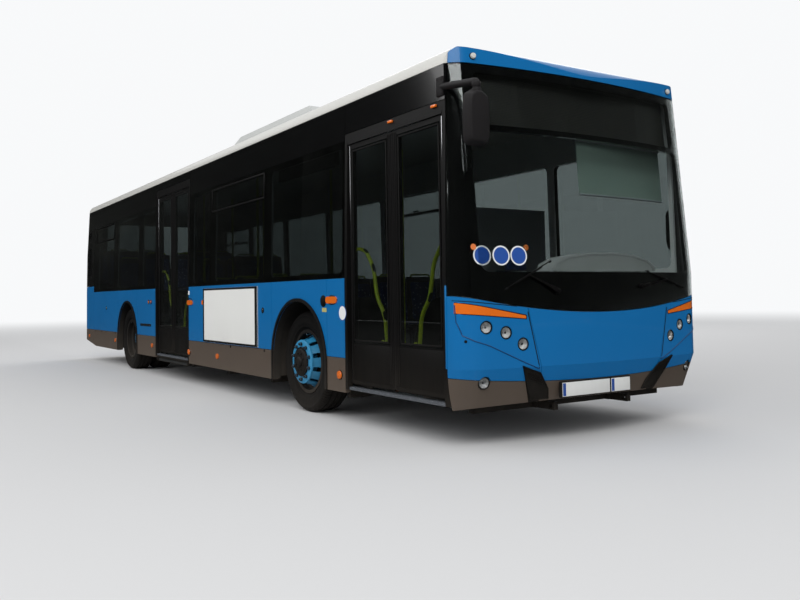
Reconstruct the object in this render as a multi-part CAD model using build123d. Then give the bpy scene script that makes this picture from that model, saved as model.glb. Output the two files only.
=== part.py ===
from build123d import *
from math import asin, atan2, cos, degrees, radians, sin, sqrt
import os

# A twelve-metre low-floor city bus, in millimetres.
# +Z is up, the front faces -Y, the doors are on the -X side and the driver sits on the +X side.
# The origin is on the ground, midway between the mirror tips and the rear bumper, on the centre line.

# Overall sizes
OVERALL_LENGTH = 12180
MIRROR_REACH = 240
HALF_WIDTH = 1275
REAR_Y = OVERALL_LENGTH / 2
FRONT_Y = -OVERALL_LENGTH / 2 + MIRROR_REACH

# Body outline
FRONT_RADIUS = 6900
FRONT_CORNER_RADIUS = 220
REAR_CORNER_RADIUS = 130
ROOF_EDGE_RADIUS = 130
CAP_RADIUS = 120
TUMBLE = 33
ROOF_EDGE_Z = 2885
ROOF_TOP_Z = 2930
CAP_EDGE_Z = 2870
TUCK_TOP_Z = 570
TUCK_SLOPE = 0.42
RAKE_FOOT_Z = 1250
RAKE_SLOPE = 0.092
REAR_LEAN_Z = 1950
REAR_LEAN = 150
FRONT_LIP_Z = 335
SKIRT_FOOT_Z = 270
TAIL_LIP_Z = 394
TAIL_RISE_Y = REAR_Y - 820
# The front panels' middle third, between the two slanting seams
SEAM_TOP_X = HALF_WIDTH - 523
SEAM_FOOT_X = HALF_WIDTH - 635
STEERING_X = 620
STEERING_Y = FRONT_Y + 940

# Levels along the body
SKIRT_TOP_Z = 565
WAIST_Z = 1254
WINDOW_FOOT_Z = 1300
WINDOW_HEAD_Z = 2400
CANTRAIL_FOOT_Z = 2445
ROOF_FOOT_Z = 2765
FLOOR_Z = 325
FLOOR_THICKNESS = 25

# Walls and gaps
WALL = 50
GLASS = 6
WINDSCREEN = 8
LID_WALL = 40
LINING = 20
PANEL_GAP = 4
LID_GAP = 6
SEAT_GAP = 0.3

# Wheels and axles
WHEELBASE = 6220
FRONT_OVERHANG = 2710
FRONT_AXLE_Y = FRONT_Y + FRONT_OVERHANG
REAR_AXLE_Y = FRONT_AXLE_Y + WHEELBASE
TYRE_RADIUS = 479
TYRE_WIDTH = 275
BEAD_RADIUS = 286
HUB_Z = TYRE_RADIUS
FRONT_WHEEL_X = HALF_WIDTH - 215
REAR_WHEEL_X = HALF_WIDTH - 345
TWIN_SPACING = 322
ARCH_RADIUS = TYRE_RADIUS + 86
ARCH_Z = HUB_Z + 11
HOUSING_WALL = 20
HOUSING_CLEARANCE = 10
HOUSING_OUTER = ARCH_RADIUS + HOUSING_CLEARANCE + HOUSING_WALL
FRONT_HOUSING_X = FRONT_WHEEL_X - 580
REAR_HOUSING_X = REAR_WHEEL_X - 350
KINGPIN_X = FRONT_WHEEL_X - 155
KINGPIN_RADIUS = 22
PIN_CLEARANCE = 0.1

# The saloon runs between the arches, the rear bay from the rear arch to the bulkhead
SALOON = (FRONT_AXLE_Y + ARCH_RADIUS + 35, REAR_AXLE_Y - ARCH_RADIUS - 35)
REAR_BAY = (REAR_AXLE_Y + ARCH_RADIUS + 35, REAR_Y - 660)


def saloon_y(share):
    """A place in the saloon, as a share of its length from the front."""
    return SALOON[0] + share * (SALOON[1] - SALOON[0])


def rear_bay_y(share):
    """A place in the rear bay, as a share of its length from the front."""
    return REAR_BAY[0] + share * (REAR_BAY[1] - REAR_BAY[0])


# Doorways: two leaves each, carried at mid-width by a turning post behind each jamb
DOOR_WIDTH = 1380
FRONT_DOOR_Y = FRONT_Y + 1045
MIDDLE_DOOR_Y = saloon_y(3335 / 5020)
LEAF_THICKNESS = 35
LEAF_INSET = 36
LEAF_GAP = 8
LEAF_MIDDLE_GAP = 12
LEAF_FOOT_Z = 354
FRONT_LEAF_TOP_Z = 2400
MIDDLE_LEAF_TOP_Z = 2560
ARM_LENGTH = 335
ARM_THICKNESS = 16
ARM_GAP = 6
POST_RADIUS = 20
POST_INSET = 104
POST_PASSING = 36
LEAF_STILE = 52
LEAF_PANEL_TOP_Z = 722
LEAF_HEAD = 60
LEAF_PIN_RADIUS = 9

# Ramp under the middle door
RAMP_WIDTH = 1240
RAMP_LENGTH = 720
RAMP_THICKNESS = 30
CASSETTE_WALL = 5
CASSETTE_HEIGHT = 72

parts = {}


def keep(name, *shapes):
    """Put solids into the node called name."""
    solids = []
    for shape in shapes:
        solids.extend(shape.solids())
    parts.setdefault(name, []).extend(solids)


def block(x_low, x_high, y_low, y_high, z_low, z_high):
    """A box given by its faces."""
    size = (x_high - x_low, y_high - y_low, z_high - z_low)
    centre = ((x_low + x_high) / 2, (y_low + y_high) / 2, (z_low + z_high) / 2)
    return Pos(*centre) * Box(*size)


def side_block(side, x_inner, x_outer, y_low, y_high, z_low, z_high):
    """A box on one side of the bus: side is -1 for the door side and +1 for the driver's side."""
    x_low, x_high = sorted((side * x_inner, side * x_outer))
    return block(x_low, x_high, y_low, y_high, z_low, z_high)


def along_x(points, x_low, x_high):
    """A polygon of (y, z) points as a prism from x_low to x_high."""
    face = make_face(Polyline(*points, close=True))
    return Pos(x_low, 0, 0) * extrude(Plane.YZ * face, amount=x_high - x_low)


def along_y(face, y_low, y_high):
    """A face drawn in (x, z) as a prism from y_low to y_high."""
    return Pos(0, y_high, 0) * extrude(Plane.XZ * face, amount=y_high - y_low)


def rod_x(radius, x_low, x_high, y, z):
    """A round bar along X."""
    return Pos((x_low + x_high) / 2, y, z) * Rot(0, 90, 0) * Cylinder(radius, x_high - x_low)


def rod_y(radius, x, y_low, y_high, z):
    """A round bar along Y."""
    return Pos(x, (y_low + y_high) / 2, z) * Rot(90, 0, 0) * Cylinder(radius, y_high - y_low)


def rod_z(radius, x, y, z_low, z_high):
    """A round bar along Z."""
    return Pos(x, y, (z_low + z_high) / 2) * Cylinder(radius, z_high - z_low)


def sheared(face, shift_y, rise_z):
    """A flat face extruded along a slope in the YZ plane."""
    slope = Vector(0, shift_y, rise_z)
    return extrude(face, amount=slope.length, dir=slope)


def bent_tube(radius, points, bend):
    """A round tube along points, with tangent arcs of radius bend."""
    path = FilletPolyline(*points, radius=bend)
    start = Plane(origin=path @ 0, z_dir=path % 0)
    return sweep(start * Circle(radius), path=path)


# The body's outer form is one envelope; every skin panel is cut from it between two insets.


def plan_face(inset):
    """The body's outline seen from above."""
    half = HALF_WIDTH - inset
    radius = FRONT_RADIUS - inset
    front = FRONT_Y + inset
    shoulder = front + radius - sqrt(radius**2 - half**2)
    rear = 2 * REAR_Y
    outline = [
        ThreePointArc((-half, shoulder), (0, front), (half, shoulder)),
        Line((half, shoulder), (half, rear)),
        Line((half, rear), (-half, rear)),
        Line((-half, rear), (-half, shoulder)),
    ]
    face = make_face(outline)
    corners = face.vertices().group_by(Axis.Y)[0]
    return fillet(corners, FRONT_CORNER_RADIUS - inset)


def tail_plan_face(inset):
    """The rear end's outline seen from above, with its rounded corners."""
    half = HALF_WIDTH + 50 - inset
    rear = REAR_Y - inset
    points = [(-half, rear), (half, rear), (half, -REAR_Y - 500), (-half, -REAR_Y - 500)]
    face = make_face(Polyline(*points, close=True))
    corners = face.vertices().group_by(Axis.Y)[-1]
    return fillet(corners, REAR_CORNER_RADIUS + 50 - inset)


def section_face(inset):
    """The body's cross-section."""
    half = HALF_WIDTH - inset
    top_half = half - TUMBLE
    edge = ROOF_EDGE_Z - inset
    outline = [
        Line((-half, 0), (-half, WAIST_Z)),
        Line((-half, WAIST_Z), (-top_half, edge)),
        ThreePointArc((-top_half, edge), (0, ROOF_TOP_Z - inset), (top_half, edge)),
        Line((top_half, edge), (half, WAIST_Z)),
        Line((half, WAIST_Z), (half, 0)),
        Line((half, 0), (-half, 0)),
    ]
    face = make_face(outline)
    corners = face.vertices().sort_by(Axis.Y)[-2:]
    return fillet(corners, ROOF_EDGE_RADIUS - inset)


def front_at(z):
    """Where the centre of the front lies at a height."""
    return FRONT_Y + RAKE_SLOPE * max(0, z - RAKE_FOOT_Z) + TUCK_SLOPE * max(0, TUCK_TOP_Z - z)


def profile_face(inset):
    """The body's side view: bottom edge, rear wall and the cap's rounded front, drawn in (y, z)."""
    rear = REAR_Y - inset
    clear = 2
    cap = front_at(CAP_EDGE_Z) + inset - clear
    foot = front_at(RAKE_FOOT_Z) + inset - clear
    lean_top = REAR_Y - inset - REAR_LEAN
    high = ROOF_TOP_Z + 20 - inset
    points = [
        (foot - 300, FRONT_LIP_Z),
        (FRONT_Y, FRONT_LIP_Z),
        (FRONT_Y + FRONT_CORNER_RADIUS + 100, SKIRT_FOOT_Z),
        (TAIL_RISE_Y, SKIRT_FOOT_Z),
        (rear + 200, TAIL_LIP_Z),
        (rear + 200, REAR_LEAN_Z),
        (lean_top, high),
        (FRONT_Y + 900, high),
        (cap, CAP_EDGE_Z - inset),
        (foot, RAKE_FOOT_Z),
        (foot - 300, RAKE_FOOT_Z),
    ]
    face = make_face(Polyline(*points, close=True))
    cap_corner = face.vertices().sort_by_distance((cap, CAP_EDGE_Z - inset, 0))[0]
    face = fillet(cap_corner, CAP_RADIUS - inset)
    rear_corner = face.vertices().sort_by_distance((lean_top, high, 0))[0]
    return fillet(rear_corner, ROOF_EDGE_RADIUS - inset)


envelopes = {}


def envelope(inset):
    """The body's outer form, moved inwards by inset."""
    if inset in envelopes:
        return envelopes[inset]
    face = plan_face(inset)
    low = TUCK_TOP_Z - 400
    high = ROOF_TOP_Z + 60
    lower = Pos(0, 0, TUCK_TOP_Z) * sheared(face, TUCK_SLOPE * (TUCK_TOP_Z - low), low - TUCK_TOP_Z)
    middle = Pos(0, 0, TUCK_TOP_Z) * extrude(face, amount=RAKE_FOOT_Z - TUCK_TOP_Z)
    upper = Pos(0, 0, RAKE_FOOT_Z) * sheared(face, RAKE_SLOPE * (high - RAKE_FOOT_Z), high - RAKE_FOOT_Z)
    body = lower + middle + upper
    section = along_y(section_face(inset), -1.2 * OVERALL_LENGTH, REAR_Y + 100)
    profile = Pos(-2 * HALF_WIDTH, 0, 0) * extrude(Plane.YZ * profile_face(inset), amount=4 * HALF_WIDTH)
    tail_face = tail_plan_face(inset)
    lean_slope = -REAR_LEAN / (ROOF_TOP_Z - REAR_LEAN_Z)
    tail = Pos(0, 0, low) * extrude(tail_face, amount=REAR_LEAN_Z - low)
    tail += Pos(0, 0, REAR_LEAN_Z) * sheared(tail_face, lean_slope * (high - REAR_LEAN_Z), high - REAR_LEAN_Z)
    envelopes[inset] = body & section & profile & tail
    return envelopes[inset]


def skin(outer, inner):
    """The body's skin between two insets."""
    return envelope(outer) - envelope(inner)


def side_half(z):
    """Half the body's width at a height."""
    return HALF_WIDTH - TUMBLE * max(0, z - WAIST_Z) / (ROOF_EDGE_Z - WAIST_Z)


def side_face(outline_y, outline_z, radius=0):
    """A rectangle on a side wall, given by its edges, with rounded corners."""
    (y_low, y_high), (z_low, z_high) = outline_y, outline_z
    centre = Pos((y_low + y_high) / 2, (z_low + z_high) / 2)
    if radius:
        return centre * RectangleRounded(y_high - y_low, z_high - z_low, radius)
    return centre * Rectangle(y_high - y_low, z_high - z_low)


def through_side(side, face, depth=400):
    """A (y, z) face as a prism through one side wall."""
    prism = extrude(Plane.YZ * face, amount=depth)
    start = HALF_WIDTH + 60 - depth if side > 0 else -HALF_WIDTH - 60
    return Pos(start, 0, 0) * prism


CORNER_Y = FRONT_DOOR_Y - DOOR_WIDTH / 2 - 49
REAR_CORNER_Y = REAR_Y - 650
REAR_CUT_Y = REAR_Y - 160

# Door frames
JAMB = 41
JAMB_GAP = 4
POST_CUT = 50
HEADER_HEIGHT = 70
GEAR_DEPTH = 190
LINING_FRONT_TOP_Z = 1230
door_edges = {
    "front": (FRONT_DOOR_Y - DOOR_WIDTH / 2, FRONT_DOOR_Y + DOOR_WIDTH / 2),
    "middle": (MIDDLE_DOOR_Y - DOOR_WIDTH / 2, MIDDLE_DOOR_Y + DOOR_WIDTH / 2),
}
leaf_tops = {"front": FRONT_LEAF_TOP_Z, "middle": MIDDLE_LEAF_TOP_Z}
frame_edge = JAMB + 2 * JAMB_GAP

# Window seams: over the rear bay, ahead of the rear arch, beside the middle door, in the saloon, at the cab
REAR_SEAM_Y = rear_bay_y(245 / 1750)
ARCH_SEAM_Y = SALOON[1] - 70
MIDDLE_SEAM_Y = saloon_y(3400 / 5020)
SALOON_SEAMS_Y = (saloon_y(1790 / 5020), saloon_y(155 / 5020))
CAB_SEAM_Y = FRONT_AXLE_Y - 900
# Window seams along each stretch of wall, from the rear: (side, seams)
WALL_RUNS = [
    (-1, (REAR_CORNER_Y, REAR_SEAM_Y, ARCH_SEAM_Y, door_edges["middle"][1] + frame_edge)),
    (-1, (door_edges["middle"][0] - frame_edge, *SALOON_SEAMS_Y, door_edges["front"][1] + frame_edge)),
    (1, (REAR_CORNER_Y, REAR_SEAM_Y, ARCH_SEAM_Y, MIDDLE_SEAM_Y, *SALOON_SEAMS_Y, CAB_SEAM_Y, CORNER_Y)),
]
# Blue panel and skirt seams along each stretch of wall, from the rear
REAR_PANELS_Y = (REAR_CORNER_Y, rear_bay_y(970 / 1750), rear_bay_y(20 / 1750), SALOON[1])
FRONT_PANELS_Y = (SALOON[0], FRONT_AXLE_Y - ARCH_RADIUS - 35)
DRIVER_SEAMS_Y = (saloon_y(3840 / 5020), saloon_y(2290 / 5020))
PANEL_RUNS = [
    (-1, (*REAR_PANELS_Y, door_edges["middle"][1] + frame_edge)),
    (-1, (door_edges["middle"][0] - frame_edge, *FRONT_PANELS_Y, door_edges["front"][1] + frame_edge)),
    (1, (*REAR_PANELS_Y, *DRIVER_SEAMS_Y, *FRONT_PANELS_Y, CORNER_Y)),
]
PILLAR_HALF = 42
REAR_PILLAR = rear_bay_y(170 / 1750) - REAR_BAY[0]
WINDOW_CORNER = 60
# Panes with a tilting top light: the seam at the front of each, and the bar's foot and height
HOPPERS = (REAR_SEAM_Y, SALOON_SEAMS_Y[1])
HOPPER_Z = 2140
HOPPER_BAR = 28
# Rubber lips round the wheel arches
LIP_WIDTH = 30
LIP_DEPTH = 14


def arch_cut(axle_y, radius):
    """The wheel arch's opening as a prism across the whole bus."""
    return Pos(-2 * HALF_WIDTH, 0, 0) * extrude(Plane.YZ * arch_face(axle_y, radius), amount=4 * HALF_WIDTH)


def make_side_walls():
    """Window frames, flush panes, blue panels, skirts and cantrails of both sides."""
    frame_skin = skin(GLASS + SEAT_GAP, WALL)
    glass_skin = skin(0, GLASS)
    wall_skin = skin(0, WALL)
    arches = arch_cut(FRONT_AXLE_Y, ARCH_RADIUS) + arch_cut(REAR_AXLE_Y, ARCH_RADIUS)
    half_gap = PANEL_GAP / 2
    holes = window_holes()
    for side, seams in WALL_RUNS:
        rear, front = seams[0], seams[-1]
        slab = through_side(side, side_face((front, rear), (WAIST_Z, CANTRAIL_FOOT_Z)))
        bars = Part()
        for pane_rear, pane_front in zip(seams, seams[1:]):
            pane = side_face(
                (pane_front + half_gap, pane_rear - half_gap),
                (WAIST_Z + PANEL_GAP, CANTRAIL_FOOT_Z - PANEL_GAP),
            )
            keep("glass", glass_skin & through_side(side, pane))
            if pane_front in HOPPERS:
                bar = side_face((pane_front, pane_rear), (HOPPER_Z, HOPPER_Z + HOPPER_BAR))
                bars += through_side(side, bar)
        keep("window_frames", ((frame_skin & slab) - holes) + (frame_skin & bars))
        cantrail = side_face((front, rear), (CANTRAIL_FOOT_Z, ROOF_FOOT_Z - PANEL_GAP))
        keep("cantrails", wall_skin & through_side(side, cantrail))
    for side, seams in PANEL_RUNS:
        for piece_rear, piece_front in zip(seams, seams[1:]):
            span = (piece_front + half_gap, piece_rear - half_gap)
            panel = side_face(span, (SKIRT_TOP_Z + half_gap, WAIST_Z - half_gap))
            keep("side_panels", (wall_skin & through_side(side, panel)) - arches)
            skirt = side_face(span, (SKIRT_FOOT_Z - 50, SKIRT_TOP_Z - half_gap))
            keep("skirts", (wall_skin & through_side(side, skirt)) - arches)


def make_arch_lips():
    """The rubber lips that edge the wheel arches."""
    for axle_y in (FRONT_AXLE_Y, REAR_AXLE_Y):
        ring = arch_face(axle_y, ARCH_RADIUS + LIP_WIDTH) - arch_face(axle_y, ARCH_RADIUS)
        for side in (-1, 1):
            start = HALF_WIDTH + SEAT_GAP if side > 0 else -HALF_WIDTH - LIP_DEPTH
            lip = Pos(start, 0, 0) * extrude(Plane.YZ * ring, amount=LIP_DEPTH - SEAT_GAP)
            keep("arch_lips", lip & block(-2000, 2000, -8000, 8000, SKIRT_FOOT_Z + 2, 2000))


def header_foot(door):
    """The foot of a doorway's header, above the leaves' upper arms."""
    return leaf_tops[door] + ARM_GAP + ARM_THICKNESS + ARM_GAP


def window_holes():
    """Every window opening in the side walls, as prisms."""
    holes = Part()
    for side, seams in WALL_RUNS:
        for pane_rear, pane_front in zip(seams, seams[1:]):
            rear_pillar = REAR_PILLAR if pane_rear == REAR_CORNER_Y else PILLAR_HALF
            hole = side_face(
                (pane_front + PILLAR_HALF, pane_rear - rear_pillar),
                (WINDOW_FOOT_Z, WINDOW_HEAD_Z),
                WINDOW_CORNER,
            )
            holes += through_side(side, hole)
    return holes


def rear_window_face(clearance):
    """The rear window's outline in the rear view, made smaller all round by a clearance."""
    width = 2 * REAR_WINDOW_X - 2 * clearance
    height = REAR_WINDOW_Z[1] - REAR_WINDOW_Z[0] - 2 * clearance
    return Pos(0, sum(REAR_WINDOW_Z) / 2) * RectangleRounded(width, height, REAR_WINDOW_CORNER - clearance)


def engine_opening(clearance):
    """The engine door's outline as a block, made larger all round by a clearance."""
    half = ENGINE_DOOR_X + clearance
    return block(
        -half, half, REAR_CUT_Y - 100, REAR_Y + 200, ENGINE_DOOR_Z[0] - clearance, ENGINE_DOOR_Z[1] + clearance
    )


def make_lining():
    """The inner wall that carries every outer panel, open at the windows, doors, arches and engine."""
    foot = FLOOR_Z - FLOOR_THICKNESS
    ring = skin(WALL + SEAT_GAP, WALL + LINING)
    ring &= block(-2000, 2000, -8000, 8000, foot, ROOF_FOOT_Z - SEAT_GAP)
    ring -= block(-2000, 2000, -8000, CORNER_Y, LINING_FRONT_TOP_Z, 4000)
    ring -= window_holes()
    ring -= along_y(rear_window_face(0), REAR_CUT_Y - 200, REAR_Y + 100)
    ring -= engine_opening(LID_GAP)
    for door, (front, rear) in door_edges.items():
        ring -= side_block(-1, 900, 1500, front - POST_CUT, rear + POST_CUT, 0, header_foot(door))
    ring -= arch_cut(FRONT_AXLE_Y, HOUSING_OUTER + SEAT_GAP) + arch_cut(REAR_AXLE_Y, HOUSING_OUTER + SEAT_GAP)
    # Joints between the inner wall's panels: y, how far the joint reaches on the driver's side
    joints = [(CORNER_Y - SEAT_GAP, 2000), (REAR_CORNER_Y, 2000)]
    joints += [(door_edges["front"][1] + POST_CUT, 0)]
    joints += [(door_edges["middle"][0] - POST_CUT, 0), (door_edges["middle"][1] + POST_CUT, 0)]
    for y, reach in joints:
        ring -= block(-2000, reach, y, y + SEAT_GAP, 0, 4000)
    keep("lining", ring)


def make_door_frame(name):
    """The black frame round one doorway: two jambs, a header with a lip, and the gear's cover inside."""
    front, rear = door_edges[name]
    top = leaf_tops[name]
    foot = header_foot(name)
    header_top = foot + HEADER_HEIGHT
    wall = skin(0, WALL)
    jamb_foot = FLOOR_Z - FLOOR_THICKNESS + SEAT_GAP
    for y_low in (front - JAMB_GAP - JAMB, rear + JAMB_GAP):
        jamb = side_face((y_low, y_low + JAMB), (jamb_foot, header_top))
        keep("door_frames", wall & through_side(-1, jamb))
    header = side_face((front - JAMB_GAP + SEAT_GAP, rear + JAMB_GAP - SEAT_GAP), (foot, header_top))
    lip = side_face((front, rear), (top + JAMB_GAP, foot - SEAT_GAP))
    keep("door_frames", wall & through_side(-1, header), skin(0, GLASS) & through_side(-1, lip))
    above = side_face(
        (front - JAMB_GAP - JAMB, rear + JAMB_GAP + JAMB),
        (header_top + JAMB_GAP, ROOF_FOOT_Z - PANEL_GAP),
    )
    keep("cantrails", wall & through_side(-1, above))
    gear_top = ROOF_FOOT_Z - SEAT_GAP
    gear_outer = side_half(gear_top) - WALL - LINING - SEAT_GAP
    gear = side_block(-1, gear_outer - GEAR_DEPTH, gear_outer, front - 40, rear + 40, foot + SEAT_GAP, gear_top)
    keep("door_gear", gear & envelope(WALL + LINING + SEAT_GAP))
    tread_x = (FLOOR_HALF + SEAT_GAP, HALF_WIDTH - 12)
    tread = side_block(-1, *tread_x, front, rear, FLOOR_Z - FLOOR_THICKNESS, FLOOR_Z)
    keep("floor", tread)


def make_roof():
    """The white roof and the blue cap over the windscreen."""
    lid = envelope(0) & block(-2000, 2000, -8000, 8000, ROOF_FOOT_Z, ROOF_TOP_Z + 50)
    cap_rear = CORNER_Y
    keep("roof_cap", lid & block(-2000, 2000, -8000, cap_rear, 0, 4000))
    rest = lid & block(-2000, 2000, cap_rear + PANEL_GAP, 8000, 0, 4000)
    keep("roof", rest)


# Windscreen and front panels, all cut by curves drawn in the front view
SILL_CORNER_Z = 1108
SILL_CENTRE_Z = 950
BUMPER_CORNER_Z = 515
BUMPER_CENTRE_Z = 448
A_PILLAR_X = HALF_WIDTH - 155
DISPLAY_X = HALF_WIDTH - 215
SCREEN_HEAD_Z = ROOF_FOOT_Z - 12
DISPLAY_FOOT_Z = 2276
DISPLAY_TOP_Z = 2700
CLEAR_FOOT_Z = 1250
# Lamps: x, z, radius
FOG_LAMP = (HALF_WIDTH - 185, 473, 45)
FRONT_LAMPS = [(HALF_WIDTH - 183, 862, 46), (HALF_WIDTH - 339, 821, 46), (HALF_WIDTH - 480, 736, 46)]
LAMP_INSET = 3
# Air inlet and indicator, outlines in the front view: x, z
INLET_X = SEAM_FOOT_X - 68
INLET = [
    (INLET_X + 228, 578),
    (INLET_X + 128, 540),
    (INLET_X + 40, 430),
    (INLET_X, 250),
    (INLET_X + 68, 250),
    (INLET_X + 173, 470),
]
WEDGE = [(HALF_WIDTH - 13, 1036), (HALF_WIDTH - 13, 962), (SEAM_TOP_X + 13, 917), (SEAM_TOP_X + 13, 938)]


def below_curve(corner_z, centre_z, drop):
    """The front-view region under a curve that sags towards the centre line."""
    wide = HALF_WIDTH + 100
    outline = [
        ThreePointArc((-wide, corner_z - drop), (0, centre_z - drop), (wide, corner_z - drop)),
        Line((wide, corner_z - drop), (wide, 0)),
        Line((wide, 0), (-wide, 0)),
        Line((-wide, 0), (-wide, corner_z - drop)),
    ]
    return along_y(make_face(outline), FRONT_Y - 100, CORNER_Y)


def make_front():
    """Windscreen, its frame, the blue front panels, the bumper and the black inlets."""
    ahead = block(-2000, 2000, -8000, CORNER_Y, 0, SCREEN_HEAD_Z)
    half_gap = PANEL_GAP / 2
    sill = below_curve(SILL_CORNER_Z, SILL_CENTRE_Z, -half_gap)
    keep("windscreen", (skin(0, WINDSCREEN) & ahead) - sill)
    under_cap = block(-2000, 2000, -8000, CORNER_Y, 0, ROOF_FOOT_Z - SEAT_GAP)
    frame = (skin(WINDSCREEN + SEAT_GAP, WALL) & under_cap) - sill
    clear = Pos(0, (CLEAR_FOOT_Z + DISPLAY_FOOT_Z) / 2) * RectangleRounded(
        2 * A_PILLAR_X, DISPLAY_FOOT_Z - CLEAR_FOOT_Z, 70
    )
    display_foot = DISPLAY_FOOT_Z + 40
    display = Pos(0, (display_foot + DISPLAY_TOP_Z) / 2) * RectangleRounded(
        2 * DISPLAY_X, DISPLAY_TOP_Z - display_foot, 30
    )
    frame -= along_y(clear, FRONT_Y - 100, CORNER_Y)
    frame -= along_y(display, FRONT_Y - 100, CORNER_Y)
    keep("window_frames", frame)

    face = skin(0, WALL) & ahead & below_curve(SILL_CORNER_Z, SILL_CENTRE_Z, half_gap)
    bumper_region = below_curve(BUMPER_CORNER_Z, BUMPER_CENTRE_Z, half_gap)
    inlet_2d, fog_2d, lamps_2d, wedges_2d = Sketch(), Sketch(), Sketch(), Sketch()
    for side in (-1, 1):
        inlet_2d += make_face(Polyline(*[(side * x, z) for x, z in INLET], close=True))
        wedges_2d += make_face(Polyline(*[(side * x, z) for x, z in WEDGE], close=True))
        x, z, radius = FOG_LAMP
        fog_2d += Pos(side * x, z) * Circle(radius)
        for x, z, radius in FRONT_LAMPS:
            lamps_2d += Pos(side * x, z) * Circle(radius)
    inlet_clear = along_y(offset(inlet_2d, LID_GAP), FRONT_Y - 100, CORNER_Y)
    fog_hole = along_y(offset(fog_2d, half_gap), FRONT_Y - 100, CORNER_Y)
    lamp_skin = skin(LAMP_INSET, WALL) & ahead
    keep("bumpers", (face & bumper_region) - inlet_clear - fog_hole)
    keep("grilles", face & along_y(inlet_2d, FRONT_Y - 100, CORNER_Y))
    upper = face - below_curve(BUMPER_CORNER_Z, BUMPER_CENTRE_Z, -half_gap) - inlet_clear - fog_hole
    seams = Part()
    for side in (-1, 1):
        strip = [
            (SEAM_TOP_X + 14, 1060),
            (SEAM_TOP_X + 10, 1060),
            (SEAM_FOOT_X - 36, 430),
            (SEAM_FOOT_X - 32, 430),
        ]
        face_2d = make_face(Polyline(*[(side * x, z) for x, z in strip], close=True))
        seams += along_y(face_2d, FRONT_Y - 100, CORNER_Y)
    upper -= seams
    upper -= along_y(offset(lamps_2d, half_gap), FRONT_Y - 100, CORNER_Y)
    upper -= along_y(offset(wedges_2d, half_gap), FRONT_Y - 100, CORNER_Y)
    keep("front_panel", upper)
    keep("indicators", skin(0, WALL) & ahead & along_y(wedges_2d, FRONT_Y - 100, CORNER_Y))
    keep("headlamps", lamp_skin & along_y(lamps_2d, FRONT_Y - 100, CORNER_Y))
    keep("headlamps", lamp_skin & along_y(fog_2d, FRONT_Y - 100, CORNER_Y))


# Rear wall
ENGINE_DOOR_X = HALF_WIDTH - 335
ENGINE_DOOR_Z = (602, 1640)
REAR_WINDOW_X = HALF_WIDTH - 375
REAR_WINDOW_Z = (1760, 2560)
REAR_WINDOW_CORNER = 70
REAR_SEAM_X = HALF_WIDTH - 265
HINGE_RADIUS = 6
HINGE_PIN_RADIUS = 3
# Engine door hinges: x of the middle of each, half length of the knuckle, half length with both lugs
HINGE_X = (-600, 600)
HINGE_KNUCKLE = 60
HINGE_SPAN = 85
# Rear lamps: height, radius
REAR_LAMPS = [(1440, 52), (1270, 52), (1140, 52), (1010, 52)]
REAR_LAMP_X = HALF_WIDTH - 190
REAR_BLUE_TOP_Z = 1356
REAR_MIDDLE_TOP_Z = 1690
# Louvres on both rear corners: front and rear edge, then the foot and top of each
LOUVRE_Y = (REAR_Y - 420, REAR_Y - 150)
LOUVRES = [(1537, 2079), (2240, 2400)]
SLOT_HEIGHT = 16
SLOT_PITCH = 34
LOUVRE_EDGE = 14
# Slots in the engine door: inner and outer edge on each side, heights
DOOR_SLOT_X = (110, ENGINE_DOOR_X - 160)
DOOR_SLOT_Z = (1300, 1334, 1368, 1402, 1436, 1470)


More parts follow.
